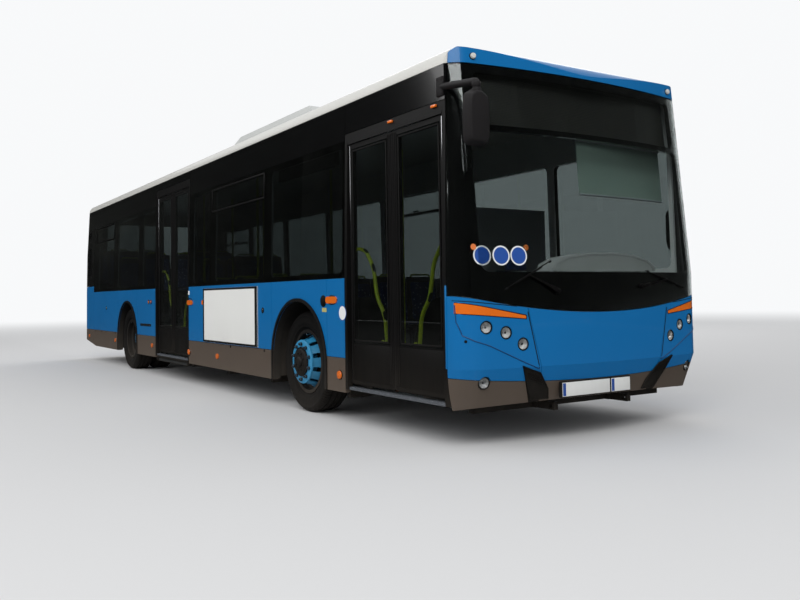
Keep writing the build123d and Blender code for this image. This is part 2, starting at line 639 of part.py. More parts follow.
def make_rear():
    """Rear corners and back panel, engine door, rear window, lamps and bumper."""
    behind = block(-2000, 2000, REAR_CORNER_Y + PANEL_GAP, 8000, 0, ROOF_FOOT_Z - PANEL_GAP)
    shell = skin(0, WALL) & behind
    half_gap = PANEL_GAP / 2
    upper = shell & block(-2000, 2000, 0, 8000, SKIRT_TOP_Z + half_gap, 4000)
    lower = shell & block(-2000, 2000, 0, 8000, 0, SKIRT_TOP_Z - half_gap)
    lamp_holes = Part()
    for z, radius in REAR_LAMPS:
        for side in (-1, 1):
            x = side * REAR_LAMP_X
            lamp_holes += rod_y(radius + 2, x, REAR_CUT_Y, REAR_Y + 20, z)
            keep("rear_lamps", envelope(0) & rod_y(radius, x, REAR_Y - WALL, REAR_Y + 20, z))
    upper -= along_y(rear_window_face(0), REAR_CUT_Y - 100, REAR_Y + 100)
    upper -= engine_opening(LID_GAP) + lamp_holes
    middle = block(-REAR_SEAM_X + half_gap, REAR_SEAM_X - half_gap, REAR_CUT_Y - 100, 8000, 0, 4000)
    gap = block(-REAR_SEAM_X - half_gap, REAR_SEAM_X + half_gap, REAR_CUT_Y - 100, 8000, 0, 4000)
    hinge_y = REAR_Y - HINGE_RADIUS
    hinge_z = ENGINE_DOOR_Z[1] + HINGE_RADIUS / 2
    half = ENGINE_DOOR_X + LID_GAP
    panel = (upper & middle) - rod_x(2 * HINGE_RADIUS, -half, half, hinge_y, hinge_z)
    door = skin(0, LID_WALL) & engine_opening(0)
    for x in HINGE_X:
        low, high = x - HINGE_SPAN, x + HINGE_SPAN
        clear = rod_x(2 * HINGE_RADIUS, low - 2, high + 2, hinge_y, hinge_z)
        knuckle = rod_x(HINGE_RADIUS, x - HINGE_KNUCKLE, x + HINGE_KNUCKLE, hinge_y, hinge_z)
        gap_rod = rod_x(2 * HINGE_RADIUS, x - HINGE_KNUCKLE - 1, x + HINGE_KNUCKLE + 1, hinge_y, hinge_z)
        lugs = rod_x(HINGE_RADIUS, low, high, hinge_y, hinge_z)
        lug_y = (hinge_y - HINGE_RADIUS, hinge_y + HINGE_RADIUS)
        lugs += block(low, high, *lug_y, hinge_z, hinge_z + 3 * HINGE_RADIUS)
        lugs -= gap_rod
        panel += lugs + rod_x(HINGE_PIN_RADIUS, low, high, hinge_y, hinge_z)
        door -= clear - gap_rod
        door += knuckle
        door -= rod_x(HINGE_PIN_RADIUS + PIN_CLEARANCE, low - 2, high + 2, hinge_y, hinge_z)
    for side in (-1, 1):
        for z in DOOR_SLOT_Z:
            door -= side_block(side, *DOOR_SLOT_X, REAR_CUT_Y, REAR_Y + 50, z, z + SLOT_HEIGHT)
    openings = Part()
    for side in (-1, 1):
        for foot, top in LOUVRES:
            openings += through_side(side, side_face(LOUVRE_Y, (foot, top)))
            keep("grilles", louvre(side, foot, top))
    for piece, split in ((panel, REAR_MIDDLE_TOP_Z), (upper - gap, REAR_BLUE_TOP_Z)):
        keep("rear_wall", piece & block(-2000, 2000, 0, 8000, 0, split - half_gap))
        keep("cantrails", (piece & block(-2000, 2000, 0, 8000, split + half_gap, 4000)) - openings)
    keep("bumpers", lower & middle, lower - gap)
    keep("glass", skin(0, GLASS) & along_y(rear_window_face(SEAT_GAP), REAR_CUT_Y - 100, REAR_Y + 100))
    keep("engine_door", door)


def louvre(side, foot, top):
    """A black louvre panel in a rear corner, with a row of slots that don't go through."""
    front, rear = LOUVRE_Y
    half_gap = PANEL_GAP / 2
    outline = side_face((front + half_gap, rear - half_gap), (foot + half_gap, top - half_gap))
    count = int((top - foot - 2 * LOUVRE_EDGE) / SLOT_PITCH)
    lowest = (foot + top - SLOT_PITCH * (count - 1)) / 2
    slots = Sketch()
    for step in range(count):
        slots += Pos((front + rear) / 2, lowest + SLOT_PITCH * step) * Rectangle(
            rear - front - 2 * LOUVRE_EDGE, SLOT_HEIGHT
        )
    return (skin(0, WALL) & through_side(side, outline)) - (skin(0, LID_WALL) & through_side(side, slots))


FRAME_DEPTH = 75
JACK_PAD_Y = (saloon_y(1340 / 5020), MIDDLE_DOOR_Y - DOOR_WIDTH / 2 - 60)
JACK_PAD_DEPTH = 10
JACK_PAD_HALF = (35, 50)
TOW_EYE_Y = FRONT_Y + 190
TOW_EYE_RADIUS = 20
TOW_LUG_HALF = 20
FRAME_RAIL_X = 395
FRAME_RAIL_WIDTH = 70
STEP_FRONT_Y = MIDDLE_DOOR_Y + DOOR_WIDTH / 2 + 135
STEP_LENGTH = 330
MIDDLE_STEP_Z = 565
REAR_FLOOR_Z = 800
BACK_FLOOR_Z = 985
BACK_FLOOR_Y = rear_bay_y(470 / 1750)
BULKHEAD_Y = REAR_BAY[1]
ENGINE_COVER_Z = 1690


def make_chassis():
    """A low ladder under the saloon, a high one over the rear axle, and the bars that join them."""
    low_top = FLOOR_Z - FLOOR_THICKNESS - SEAT_GAP
    low_foot = low_top - FRAME_DEPTH
    high_top = REAR_FLOOR_Z - FLOOR_THICKNESS - SEAT_GAP
    high_foot = high_top - FRAME_DEPTH
    kick_front = STEP_FRONT_Y + 30
    kick_rear = REAR_AXLE_Y - 810
    tail = REAR_Y - 260
    nose = FRONT_Y + 330
    # Rails: front y, rear y, foot z, top z
    low = Part()
    high = Part()
    for side in (-1, 1):
        inner = FRAME_RAIL_X - FRAME_RAIL_WIDTH / 2
        outer = FRAME_RAIL_X + FRAME_RAIL_WIDTH / 2
        low += side_block(side, inner, outer, nose, kick_front, low_foot, low_top)
        high += side_block(side, inner, outer, kick_rear, tail, high_foot, high_top)
        x_low, x_high = sorted((side * inner, side * outer))
        link = [
            (kick_front + SEAT_GAP, low_foot),
            (kick_rear - SEAT_GAP, high_foot),
            (kick_rear - SEAT_GAP, high_top),
            (kick_front + SEAT_GAP, low_top),
        ]
        keep("chassis", along_x(link, x_low, x_high))
    wall = HALF_WIDTH - WALL - SEAT_GAP
    inner_wall = wall - LINING
    # Low cross-members: y, half length
    for y, half in (
        (FRONT_Y + 400, HALF_WIDTH - 275),
        (door_edges["front"][1] + 75, wall),
        (CROSS_Y, wall),
        (JACK_PAD_Y[0], wall),
        (JACK_PAD_Y[1], wall),
        (kick_front - 30, wall),
    ):
        low += block(-half, half, y - 30, y + 30, low_foot, low_top)
    # High cross-members: y, nearest x, farthest x
    for y, near, far in (
        (REAR_AXLE_Y - 700, 0, inner_wall),
        (REAR_AXLE_Y + 700, 0, inner_wall),
        (rear_bay_y(1370 / 1750), FRAME_RAIL_X, inner_wall),
        (REAR_Y - 300, 0, HALF_WIDTH - 125),
    ):
        for side in (-1, 1):
            high += side_block(side, near, far, y - 30, y + 30, high_foot, high_top)
    for side in (-1, 1):
        x = side * FRAME_RAIL_X
        lug_top = low_top - 15
        lug = block(x - TOW_LUG_HALF, x + TOW_LUG_HALF, TOW_EYE_Y - 40, nose, low_foot, lug_top)
        low += lug - rod_x(TOW_EYE_RADIUS, x - 30, x + 30, TOW_EYE_Y, (low_foot + lug_top) / 2)
        for y in JACK_PAD_Y:
            half_x, half_y = JACK_PAD_HALF
            low += block(x - half_x, x + half_x, y - half_y, y + half_y, low_foot - JACK_PAD_DEPTH, low_foot)
    keep("chassis", low, high)


FLOOR_HALF = HALF_WIDTH - WALL - LINING - SEAT_GAP


def housing_solid(axle_y, x_inner, side):
    """A wheel housing: an arched box, open below and on the outside, with a slot for the axle."""
    inner = ARCH_RADIUS + HOUSING_CLEARANCE
    x_outer = HALF_WIDTH - WALL - SEAT_GAP
    foot = FLOOR_Z - FLOOR_THICKNESS
    low, high = sorted((side * x_inner, side * x_outer))
    above = block(-2000, 2000, axle_y - 1000, axle_y + 1000, foot, 2000)
    shell = Pos(low, 0, 0) * extrude(Plane.YZ * arch_face(axle_y, HOUSING_OUTER), amount=high - low)
    hollow_low, hollow_high = sorted((side * (x_inner + HOUSING_WALL), side * (x_outer + 10)))
    room = extrude(Plane.YZ * arch_face(axle_y, inner), amount=hollow_high - hollow_low)
    hollow = Pos(hollow_low, 0, 0) * room
    slot_low, slot_high = sorted((side * (x_inner - 10), side * (x_inner + HOUSING_WALL + 10)))
    slot = block(slot_low, slot_high, axle_y - 130, axle_y + 130, 0, HUB_Z + 150)
    return (shell - hollow - slot) & above


def arch_face(axle_y, radius):
    """An arch's outline in (y, z): a half circle on straight legs."""
    legs = Pos(axle_y, ARCH_Z / 2) * Rectangle(2 * radius, ARCH_Z)
    return legs + Pos(axle_y, ARCH_Z) * Circle(radius)


def make_floor():
    """Floor boards beside and between the wheel housings, with risers at the steps."""
    board_gap = 2
    front_low = FRONT_AXLE_Y - HOUSING_OUTER - SEAT_GAP
    front_high = FRONT_AXLE_Y + HOUSING_OUTER + SEAT_GAP
    rear_low = REAR_AXLE_Y - HOUSING_OUTER - SEAT_GAP
    rear_high = REAR_AXLE_Y + HOUSING_OUTER + SEAT_GAP
    middle_front = STEP_FRONT_Y
    middle_rear = STEP_FRONT_Y + STEP_LENGTH
    between_front = FRONT_HOUSING_X - SEAT_GAP
    between_rear = REAR_HOUSING_X - SEAT_GAP
    inside = envelope(WALL + LINING + SEAT_GAP)
    # Boards: front y, rear y, half width, top z
    boards = [
        (FRONT_Y + 230, front_low, FLOOR_HALF, FLOOR_Z),
        (front_low + board_gap, front_high - board_gap, between_front, FLOOR_Z),
        (front_high, middle_front - FLOOR_THICKNESS - board_gap, FLOOR_HALF, FLOOR_Z),
        (middle_front, middle_rear - FLOOR_THICKNESS - board_gap, FLOOR_HALF, MIDDLE_STEP_Z),
        (middle_rear, rear_low, FLOOR_HALF, REAR_FLOOR_Z),
        (rear_low + board_gap, rear_high - board_gap, between_rear, REAR_FLOOR_Z),
        (rear_high, BACK_FLOOR_Y - FLOOR_THICKNESS - board_gap, FLOOR_HALF, REAR_FLOOR_Z),
        (BACK_FLOOR_Y, BULKHEAD_Y - FLOOR_THICKNESS - board_gap, FLOOR_HALF, BACK_FLOOR_Z),
        (BULKHEAD_Y, REAR_Y, FLOOR_HALF, ENGINE_COVER_Z),
    ]
    for front, rear, half, top in boards:
        keep("floor", block(-half, half, front, rear, top - FLOOR_THICKNESS, top) & inside)
    # Risers: front face y, foot z, top z
    risers = [
        (middle_front, FLOOR_Z - FLOOR_THICKNESS, MIDDLE_STEP_Z),
        (middle_rear, MIDDLE_STEP_Z - FLOOR_THICKNESS, REAR_FLOOR_Z),
        (BACK_FLOOR_Y, REAR_FLOOR_Z - FLOOR_THICKNESS, BACK_FLOOR_Z),
        (BULKHEAD_Y, BACK_FLOOR_Z - FLOOR_THICKNESS, ENGINE_COVER_Z),
    ]
    for y, foot, top in risers:
        keep("floor", block(-FLOOR_HALF, FLOOR_HALF, y - FLOOR_THICKNESS, y - SEAT_GAP, foot, top) & inside)
    for axle_y, x_inner in ((FRONT_AXLE_Y, FRONT_HOUSING_X), (REAR_AXLE_Y, REAR_HOUSING_X)):
        for side in (-1, 1):
            keep("wheel_housings", housing_solid(axle_y, x_inner, side))


def arm_shape(origin, pin, z_low, z_high, width=30):
    """A flat door arm from a post's centre to a leaf's pin, with the pin's hole."""
    (x0, y0), (x1, y1) = origin, pin
    length = sqrt((x1 - x0) ** 2 + (y1 - y0) ** 2)
    angle = degrees(atan2(y1 - y0, x1 - x0))
    bar = Pos(length / 2, 0, 0) * Box(length, width, z_high - z_low)
    bar += Pos(length, 0, 0) * Cylinder(width / 2, z_high - z_low)
    bar -= Pos(length, 0, 0) * Cylinder(LEAF_PIN_RADIUS + PIN_CLEARANCE, z_high - z_low + 2)
    return Pos(x0, y0, (z_low + z_high) / 2) * Rot(0, 0, angle) * bar


LEADING_STILE = 85
RAIL_RADIUS = 15
# Grab rail on a leaf's inner face: distance from the trailing edge, height
LEAF_RAIL = [(12, 1503), (130, 1480), (250, 1330), (300, 1080), (420, 930), (450, 690)]
LEAF_RAIL_FEET = [(28, 1500), (447, 712)]
RAIL_STANDOFF = 45


def make_leaf(door, end):
    """One door leaf with its glass, its post and the post's two arms."""
    front, rear = door_edges[door]
    hand = 1 if end == "front" else -1
    jamb = front if hand > 0 else rear
    top = leaf_tops[door]
    x_outer = -HALF_WIDTH + LEAF_INSET
    x_inner = x_outer + LEAF_THICKNESS
    x_mid = (x_outer + x_inner) / 2
    trailing = jamb + hand * LEAF_GAP
    leading = (front + rear) / 2 - hand * LEAF_MIDDLE_GAP / 2
    pin_y = trailing + hand * (ARM_LENGTH - POST_PASSING)
    post_x = -HALF_WIDTH + POST_INSET
    closed = asin((post_x - x_mid) / ARM_LENGTH)
    post_y = pin_y - hand * ARM_LENGTH * cos(closed)

    def leaf_block(u_low, u_high, z_low, z_high, x_low, x_high):
        y_low, y_high = sorted((trailing + hand * u_low, trailing + hand * u_high))
        return block(x_low, x_high, y_low, y_high, z_low, z_high)

    width = abs(leading - trailing)
    leaf = leaf_block(0, width, LEAF_FOOT_Z, top, x_outer, x_inner)
    leaf -= leaf_block(
        LEAF_STILE, width - LEADING_STILE, LEAF_PANEL_TOP_Z, top - LEAF_HEAD, x_outer - 5, x_inner + 5
    )
    rebate = 20
    pane_depth = 5
    leaf -= leaf_block(
        LEAF_STILE - rebate,
        width - LEADING_STILE + rebate,
        LEAF_PANEL_TOP_Z - rebate,
        top - LEAF_HEAD + rebate,
        x_outer - 5,
        x_outer + pane_depth + SEAT_GAP,
    )
    pane = leaf_block(
        LEAF_STILE - rebate + 1,
        width - LEADING_STILE + rebate - 1,
        LEAF_PANEL_TOP_Z - rebate + 1,
        top - LEAF_HEAD + rebate - 1,
        x_outer,
        x_outer + pane_depth,
    )
    pin_foot = LEAF_FOOT_Z - ARM_GAP - ARM_THICKNESS
    pin_top = top + ARM_GAP + ARM_THICKNESS
    leaf += rod_z(LEAF_PIN_RADIUS, x_mid, pin_y, pin_foot, LEAF_FOOT_Z + 1)
    leaf += rod_z(LEAF_PIN_RADIUS, x_mid, pin_y, top - 1, pin_top)
    rail_x = x_inner + RAIL_STANDOFF
    route = [(rail_x, trailing + hand * u, z) for u, z in LEAF_RAIL]
    rail = bent_tube(RAIL_RADIUS, route, 60)
    for u, z in LEAF_RAIL_FEET:
        reach = (x_inner + SEAT_GAP, rail_x - RAIL_RADIUS - SEAT_GAP)
        keep(f"leaf_{door}_{end}", rod_x(RAIL_RADIUS - 3, *reach, trailing + hand * u, z))
    keep(f"leaf_{door}_{end}", leaf, rail)
    keep(f"leaf_glass_{door}_{end}", pane)

    post = rod_z(POST_RADIUS, post_x, post_y, FLOOR_Z + SEAT_GAP, header_foot(door))
    post += arm_shape((post_x, post_y), (x_mid, pin_y), pin_foot, pin_foot + ARM_THICKNESS)
    post += arm_shape((post_x, post_y), (x_mid, pin_y), top + ARM_GAP, pin_top)
    keep(f"post_{door}_{end}", post)


def make_ramp():
    """A slide-out ramp in its cassette under the middle door."""
    top = FLOOR_Z - FLOOR_THICKNESS - SEAT_GAP
    foot = top - CASSETTE_HEIGHT
    x_outer = -HALF_WIDTH + 12
    x_inner = x_outer + RAMP_LENGTH + 60
    half = RAMP_WIDTH / 2
    shell = block(x_outer, x_inner, MIDDLE_DOOR_Y - half - 25, MIDDLE_DOOR_Y + half + 25, foot, top)
    ramp_foot = foot + CASSETTE_WALL + SEAT_GAP
    slot_top = ramp_foot + RAMP_THICKNESS + 8
    shell -= block(
        x_outer - 5,
        x_inner - 20,
        MIDDLE_DOOR_Y - half - 8,
        MIDDLE_DOOR_Y + half + 8,
        foot + CASSETTE_WALL,
        slot_top,
    )
    keep("chassis", shell)
    ramp = block(
        x_outer + 6, x_outer + 6 + RAMP_LENGTH, MIDDLE_DOOR_Y - half, MIDDLE_DOOR_Y + half,
        ramp_foot, ramp_foot + RAMP_THICKNESS,
    )
    keep("ramp", ramp)


def tyre_solid(x_centre, y):
    """One tyre with three grooves and rounded shoulders, turned about the wheel's axle."""
    half = TYRE_WIDTH / 2
    shoulder = 36
    inner = BEAD_RADIUS + SEAT_GAP
    bead = RIM_WIDTH / 2 - RIM_THICKNESS - 3
    outline = [
        (inner, -bead),
        (RIM_FLANGE_RADIUS + 2, -bead),
        (inner + 60, -half + 6),
        (inner + 95, -half),
        (TYRE_RADIUS - shoulder, -half + 8),
        (TYRE_RADIUS - 8, -half + shoulder - 4),
        (TYRE_RADIUS, -half + shoulder + 14),
        (TYRE_RADIUS, half - shoulder - 14),
        (TYRE_RADIUS - 8, half - shoulder + 4),
        (TYRE_RADIUS - shoulder, half - 8),
        (inner + 95, half),
        (inner + 60, half - 6),
        (RIM_FLANGE_RADIUS + 2, bead),
        (inner, bead),
    ]
    face = make_face(Polyline(*outline, close=True))
    for groove in (-52, 0, 52):
        face -= Pos(TYRE_RADIUS, groove) * Rectangle(24, 12)
    ring = revolve(Plane.XZ * face, axis=Axis.Z)
    return Pos(x_centre, y, HUB_Z) * Rot(0, 90, 0) * ring


RIM_WIDTH = 216
RIM_FLANGE_RADIUS = 305
RIM_THICKNESS = 12
DISC_OFFSET = 161
STUD_CIRCLE = 335
STUDS = 10
HUB_RADIUS = 138
HAND_HOLES = 10


def rim_solid(side, x_centre, y, outward):
    """A steel rim with a dished disc; outward is +1 when the disc bulges away from the bus."""
    half = RIM_WIDTH / 2
    flange = RIM_FLANGE_RADIUS
    seat = BEAD_RADIUS
    well = seat - 34
    thick = RIM_THICKNESS
    barrel = [
        (flange, -half),
        (flange, -half + thick),
        (seat, -half + thick + 2),
        (seat, -half + 56),
        (well, -half + 78),
        (well, half - 78),
        (seat, half - 56),
        (seat, half - thick - 2),
        (flange, half - thick),
        (flange, half),
        (seat - thick, half),
        (seat - thick, half - 60),
        (well - thick, half - 82),
        (well - thick, -half + 82),
        (seat - thick, -half + 60),
        (seat - thick, -half),
    ]
    disc_x = DISC_OFFSET
    disc = [
        (well - thick + 2, 20),
        (well - thick + 2, 20 + thick),
        (200, disc_x),
        (100, disc_x),
        (100, disc_x - thick),
        (194, disc_x - thick),
    ]
    if outward < 0:
        disc = [(r, -x) for r, x in disc]
    ring = revolve(Plane.XZ * make_face(Polyline(*barrel, close=True)), axis=Axis.Z)
    ring += revolve(Plane.XZ * make_face(Polyline(*disc, close=True)), axis=Axis.Z)
    for turn in PolarLocations(212, HAND_HOLES):
        ring -= turn * Cylinder(24, 600)
    return Pos(x_centre, y, HUB_Z) * Rot(0, 90 * side, 0) * ring


def make_wheels():
    """Tyres and rims: single front wheels with their hubs, twin rear wheels."""
    stub_radius = 32
    for side, name in ((-1, "right"), (1, "left")):
        x = side * FRONT_WHEEL_X
        keep(f"tyre_front_{name}", tyre_solid(x, FRONT_AXLE_Y))
        rim = rim_solid(side, x, FRONT_AXLE_Y, 1)
        face_x = FRONT_WHEEL_X + DISC_OFFSET
        hub_low, hub_high = sorted((side * (face_x - 90), side * (face_x + 26)))
        hub = rod_x(HUB_RADIUS, hub_low, hub_high, FRONT_AXLE_Y, HUB_Z)
        flange_low, flange_high = sorted((side * (face_x - 2), side * (face_x + 8)))
        hub += rod_x(STUD_CIRCLE / 2 + 22, flange_low, flange_high, FRONT_AXLE_Y, HUB_Z)
        stub_low, stub_high = sorted((side * (face_x - 100), side * (face_x + 4)))
        hub -= rod_x(stub_radius + PIN_CLEARANCE, stub_low, stub_high, FRONT_AXLE_Y, HUB_Z)
        keep(f"rim_front_{name}", rim + hub + studs(side, face_x + 6, FRONT_AXLE_Y))

        outer_x = REAR_WHEEL_X + TWIN_SPACING / 2
        inner_x = REAR_WHEEL_X - TWIN_SPACING / 2
        keep(f"tyres_rear_{name}", tyre_solid(side * outer_x, REAR_AXLE_Y))
        keep(f"tyres_rear_{name}", tyre_solid(side * inner_x, REAR_AXLE_Y))
        pair = rim_solid(side, side * outer_x, REAR_AXLE_Y, -1)
        pair += rim_solid(side, side * inner_x, REAR_AXLE_Y, 1)
        hub_low, hub_high = sorted((side * (REAR_WHEEL_X - 60), side * (outer_x + 20)))
        hub = rod_x(HUB_RADIUS - 8, hub_low, hub_high, REAR_AXLE_Y, HUB_Z)
        stub_low, stub_high = sorted((side * (REAR_WHEEL_X - 70), side * (REAR_WHEEL_X + 60)))
        hub -= rod_x(stub_radius + 10 + PIN_CLEARANCE, stub_low, stub_high, REAR_AXLE_Y, HUB_Z)
        keep(f"rims_rear_{name}", pair + hub + studs(side, REAR_WHEEL_X + RIM_THICKNESS - 2, REAR_AXLE_Y))


def studs(side, x_start, y):
    """The ring of wheel studs and nuts."""
    ring = Part()
    for turn in PolarLocations(STUD_CIRCLE / 2, STUDS):
        ring += turn * (Pos(0, 0, 14) * Cylinder(13, 28))
    return Pos(side * x_start, y, HUB_Z) * Rot(0, 90 * side, 0) * ring


BEAM_FOOT_Z = 130
BEAM_TOP_Z = 205
BEAM_HALF = 38
REAR_TUBE_RADIUS = 70


def make_axles():
    """Front beam with kingpin eyes, turning knuckles, and the rear axle."""
    low, high = BEAM_FOOT_Z, BEAM_TOP_Z
    eye_low, eye_high = HUB_Z - 94, HUB_Z + 60
    half_outline = [
        (KINGPIN_X - 265, low),
        (KINGPIN_X - 115, low + 110),
        (KINGPIN_X - 105, eye_low + 22),
        (KINGPIN_X, eye_low + 22),
        (KINGPIN_X, eye_high - 20),
        (KINGPIN_X - 160, eye_high - 20),
        (KINGPIN_X - 185, low + 170),
        (KINGPIN_X - 295, high),
    ]
    outline = half_outline + [(-x, z) for x, z in reversed(half_outline)]
    beam = make_face(Polyline(*outline, close=True))
    front = along_y(beam, FRONT_AXLE_Y - BEAM_HALF, FRONT_AXLE_Y + BEAM_HALF)
    for side, name in ((-1, "right"), (1, "left")):
        x = side * KINGPIN_X
        front += rod_z(42, x, FRONT_AXLE_Y, eye_low, eye_high)
        front -= rod_z(KINGPIN_RADIUS + PIN_CLEARANCE, x, FRONT_AXLE_Y, eye_low - 5, eye_high + 5)
        knuckle = rod_z(KINGPIN_RADIUS, x, FRONT_AXLE_Y, eye_low - 40, eye_high + 40)
        lug_x = sorted((side * (KINGPIN_X - 40), side * (KINGPIN_X + 95)))
        for z_low in (eye_low - 40, eye_high + 6):
            knuckle += block(lug_x[0], lug_x[1], FRONT_AXLE_Y - 45, FRONT_AXLE_Y + 45, z_low, z_low + 34)
        plate_x = sorted((side * (KINGPIN_X + 62), side * (KINGPIN_X + 95)))
        knuckle += block(
            plate_x[0], plate_x[1], FRONT_AXLE_Y - 60, FRONT_AXLE_Y + 60, eye_low - 40, eye_high + 40
        )
        stub = sorted((side * (KINGPIN_X + 80), side * (FRONT_WHEEL_X + DISC_OFFSET)))
        knuckle += rod_x(32, stub[0], stub[1], FRONT_AXLE_Y, HUB_Z)
        keep(f"knuckle_{name}", knuckle)
    keep("axles", front)
    stub_end = REAR_WHEEL_X + 55
    # Rear axle, half of its outline: distance from the centre line, radius
    tube_end = REAR_WHEEL_X - 240
    rear_half = [(stub_end, 42), (tube_end, 42), (tube_end, REAR_TUBE_RADIUS)]
    rear_half += [(170, REAR_TUBE_RADIUS), (110, 150)]
    outline = [(radius, x) for x, radius in rear_half] + [(radius, -x) for x, radius in reversed(rear_half)]
    outline += [(0, -stub_end), (0, stub_end)]
    rear = revolve(Plane.XZ * make_face(Polyline(*outline, close=True)), axis=Axis.Z)
    keep("axles", Pos(0, REAR_AXLE_Y, HUB_Z) * Rot(0, 90, 0) * rear)


ROD_RADIUS = 18
ROD_X = 300
BELLOWS_RADIUS = 78
CROSS_Y = FRONT_AXLE_Y + 720


def make_suspension():
    """Radius rods that hold the front axle to a cross-member, and air bellows on the rear axle."""
    low_foot = FLOOR_Z - FLOOR_THICKNESS - SEAT_GAP - FRAME_DEPTH
    high_foot = REAR_FLOOR_Z - FLOOR_THICKNESS - SEAT_GAP - FRAME_DEPTH
    rod_z_level = (BEAM_FOOT_Z + BEAM_TOP_Z) / 2
    for side in (-1, 1):
        x = side * ROD_X
        rod = rod_y(ROD_RADIUS, x, FRONT_AXLE_Y + BEAM_HALF + SEAT_GAP, CROSS_Y, rod_z_level)
        rod += block(x - 30, x + 30, CROSS_Y - 35, CROSS_Y + 35, rod_z_level - 30, low_foot - SEAT_GAP)
        keep("suspension", rod)
        tube_top = HUB_Z + REAR_TUBE_RADIUS + SEAT_GAP
        bellows = rod_z(BELLOWS_RADIUS, side * FRAME_RAIL_X, REAR_AXLE_Y, tube_top, high_foot - SEAT_GAP)
        keep("suspension", bellows)


def seat_solid(x, y, z):
    """A bus seat that faces the front: cushion, back and foot as one bent slab."""
    half = 215
    profile = [
        (-220, 400),
        (-220, 445),
        (150, 420),
        (235, 1000),
        (270, 1000),
        (200, 385),
        (60, 385),
        (60, 0),
        (-40, 0),
        (-40, 395),
    ]
    points = [(y + dy, z + dz) for dy, dz in profile]
    return along_x(points, x - half, x + half)


POLE_X = 370
POLE_RADIUS = 17
ENGINE_Y = (rear_bay_y(820 / 1750), REAR_Y - 390)
ENGINE_Z = (330, 950)
DRIVER_SEAT_Y = STEERING_Y + 580
SEAT_X = (HALF_WIDTH - 748, HALF_WIDTH - 313)
# Seat rows: y, floor z
SEAT_ROWS = [
    (saloon_y(310 / 5020), FLOOR_Z),
    (saloon_y(1140 / 5020), FLOOR_Z),
    (saloon_y(1980 / 5020), FLOOR_Z),
    (SALOON[1] - 210, REAR_FLOOR_Z),
    (BACK_FLOOR_Y - 320, REAR_FLOOR_Z),
    (rear_bay_y(880 / 1750), BACK_FLOOR_Z),
    (BULKHEAD_Y - 320, BACK_FLOOR_Z),
]


def make_saloon():
    """Passenger seats, the driver's seat, handrails and the engine block."""
    for y, floor in SEAT_ROWS:
        for side in (-1, 1):
            for x in SEAT_X:
                keep("seats", seat_solid(side * x, y, floor + SEAT_GAP))
    keep("seats", seat_solid(STEERING_X, DRIVER_SEAT_Y, FLOOR_Z + SEAT_GAP))
    ceiling = ROOF_FOOT_Z - SEAT_GAP
    # Upright poles: x, y, floor z
    for x, y, z in (
        (-POLE_X, SALOON[0] + 40, FLOOR_Z),
        (POLE_X, SALOON[0] + 40, FLOOR_Z),
        (-POLE_X, saloon_y(2440 / 5020), FLOOR_Z),
        (POLE_X, saloon_y(1740 / 5020), FLOOR_Z),
        (POLE_X, saloon_y(3940 / 5020), FLOOR_Z),
        (-POLE_X, SALOON[1] - 480, REAR_FLOOR_Z),
        (POLE_X, REAR_AXLE_Y - 380, REAR_FLOOR_Z),
        (-POLE_X, REAR_AXLE_Y + 420, REAR_FLOOR_Z),
    ):
        keep("handrails", rod_z(POLE_RADIUS, x, y, z + SEAT_GAP, ceiling))
    half = FRAME_RAIL_X - FRAME_RAIL_WIDTH / 2 - SEAT_GAP
    keep("engine_block", block(-half, half, *ENGINE_Y, *ENGINE_Z))


STEERING_Z = 1130
STEERING_TILT = 22
PARTITION_Y = (STEERING_Y + 950, STEERING_Y + 980)
CAB_SIDE_X = 250
CAB_DOOR_LENGTH = 700
CAB_HINGE_RADIUS = 12


def make_cab():
    """Dashboard, steering column and wheel, the partition behind the driver and the cab's half door."""
    front = FRONT_Y + 240
    profile = [
        (front + 10, FLOOR_Z + SEAT_GAP),
        (front + 10, 1180),
        (front + 60, 1240),
        (front + 280, 1270),
        (front + 420, 1160),
        (front + 420, 1060),
        (front + 260, 900),
        (front + 190, FLOOR_Z + SEAT_GAP),
    ]
    keep("dashboard", along_x(profile, -CAB_SIDE_X, HALF_WIDTH - WALL - 240))
    wheel_place = Pos(STEERING_X, STEERING_Y, STEERING_Z) * Rot(-STEERING_TILT, 0, 0)
    wheel = Torus(225, 15) + Cylinder(45, 24)
    for turn in PolarLocations(125, 3):
        wheel += turn * Box(190, 26, 14)
    keep("steering_wheel", wheel_place * wheel)
    column = wheel_place * (Pos(0, 0, -12 - SEAT_GAP - 500) * Cylinder(30, 1000))
    keep("dashboard", column & block(-2000, 2000, -8000, 8000, FLOOR_Z + SEAT_GAP, 2000))
    keep("cab_partition", block(CAB_SIDE_X, HALF_WIDTH - 100, *PARTITION_Y, FLOOR_Z + SEAT_GAP, 1950))
    hinge_y = PARTITION_Y[0] - CAB_HINGE_RADIUS - SEAT_GAP
    door_foot, door_top = FLOOR_Z + 12, 1300
    door = block(
        CAB_SIDE_X, CAB_SIDE_X + 24, hinge_y - CAB_DOOR_LENGTH, hinge_y - 8, door_foot, door_top
    )
    door += rod_z(CAB_HINGE_RADIUS, CAB_SIDE_X + 12, hinge_y, door_foot, door_top)
    keep("cab_door", door)


# Kerb side mirror: x, z of the head's middle, its width, depth and height, arm radius
KERB_MIRROR = (HALF_WIDTH + 95, 2255, 195, 80, 382, 26)
# Driver's side mirror: x, y, z of the head's middle, its width, depth and height, arm radius
SIDE_MIRROR = (HALF_WIDTH + 117.5, FRONT_Y + 450, 1640, 150, 70, 380, 16)
MIRROR_ROOT_Z = 2600
SIDE_ROOT_Z = 1150


def mirror_head(x, y, z, width, depth, height):
    """A mirror's closed shell with rounded corners and a slimmer foot."""
    plan = RectangleRounded(width, depth, depth / 2 - 4)
    face = RectangleRounded(width, height, 34)
    upright = extrude(plan, amount=height / 2, both=True)
    return Pos(x, y, z) * (upright & extrude(Plane.XZ * face, amount=depth, both=True))


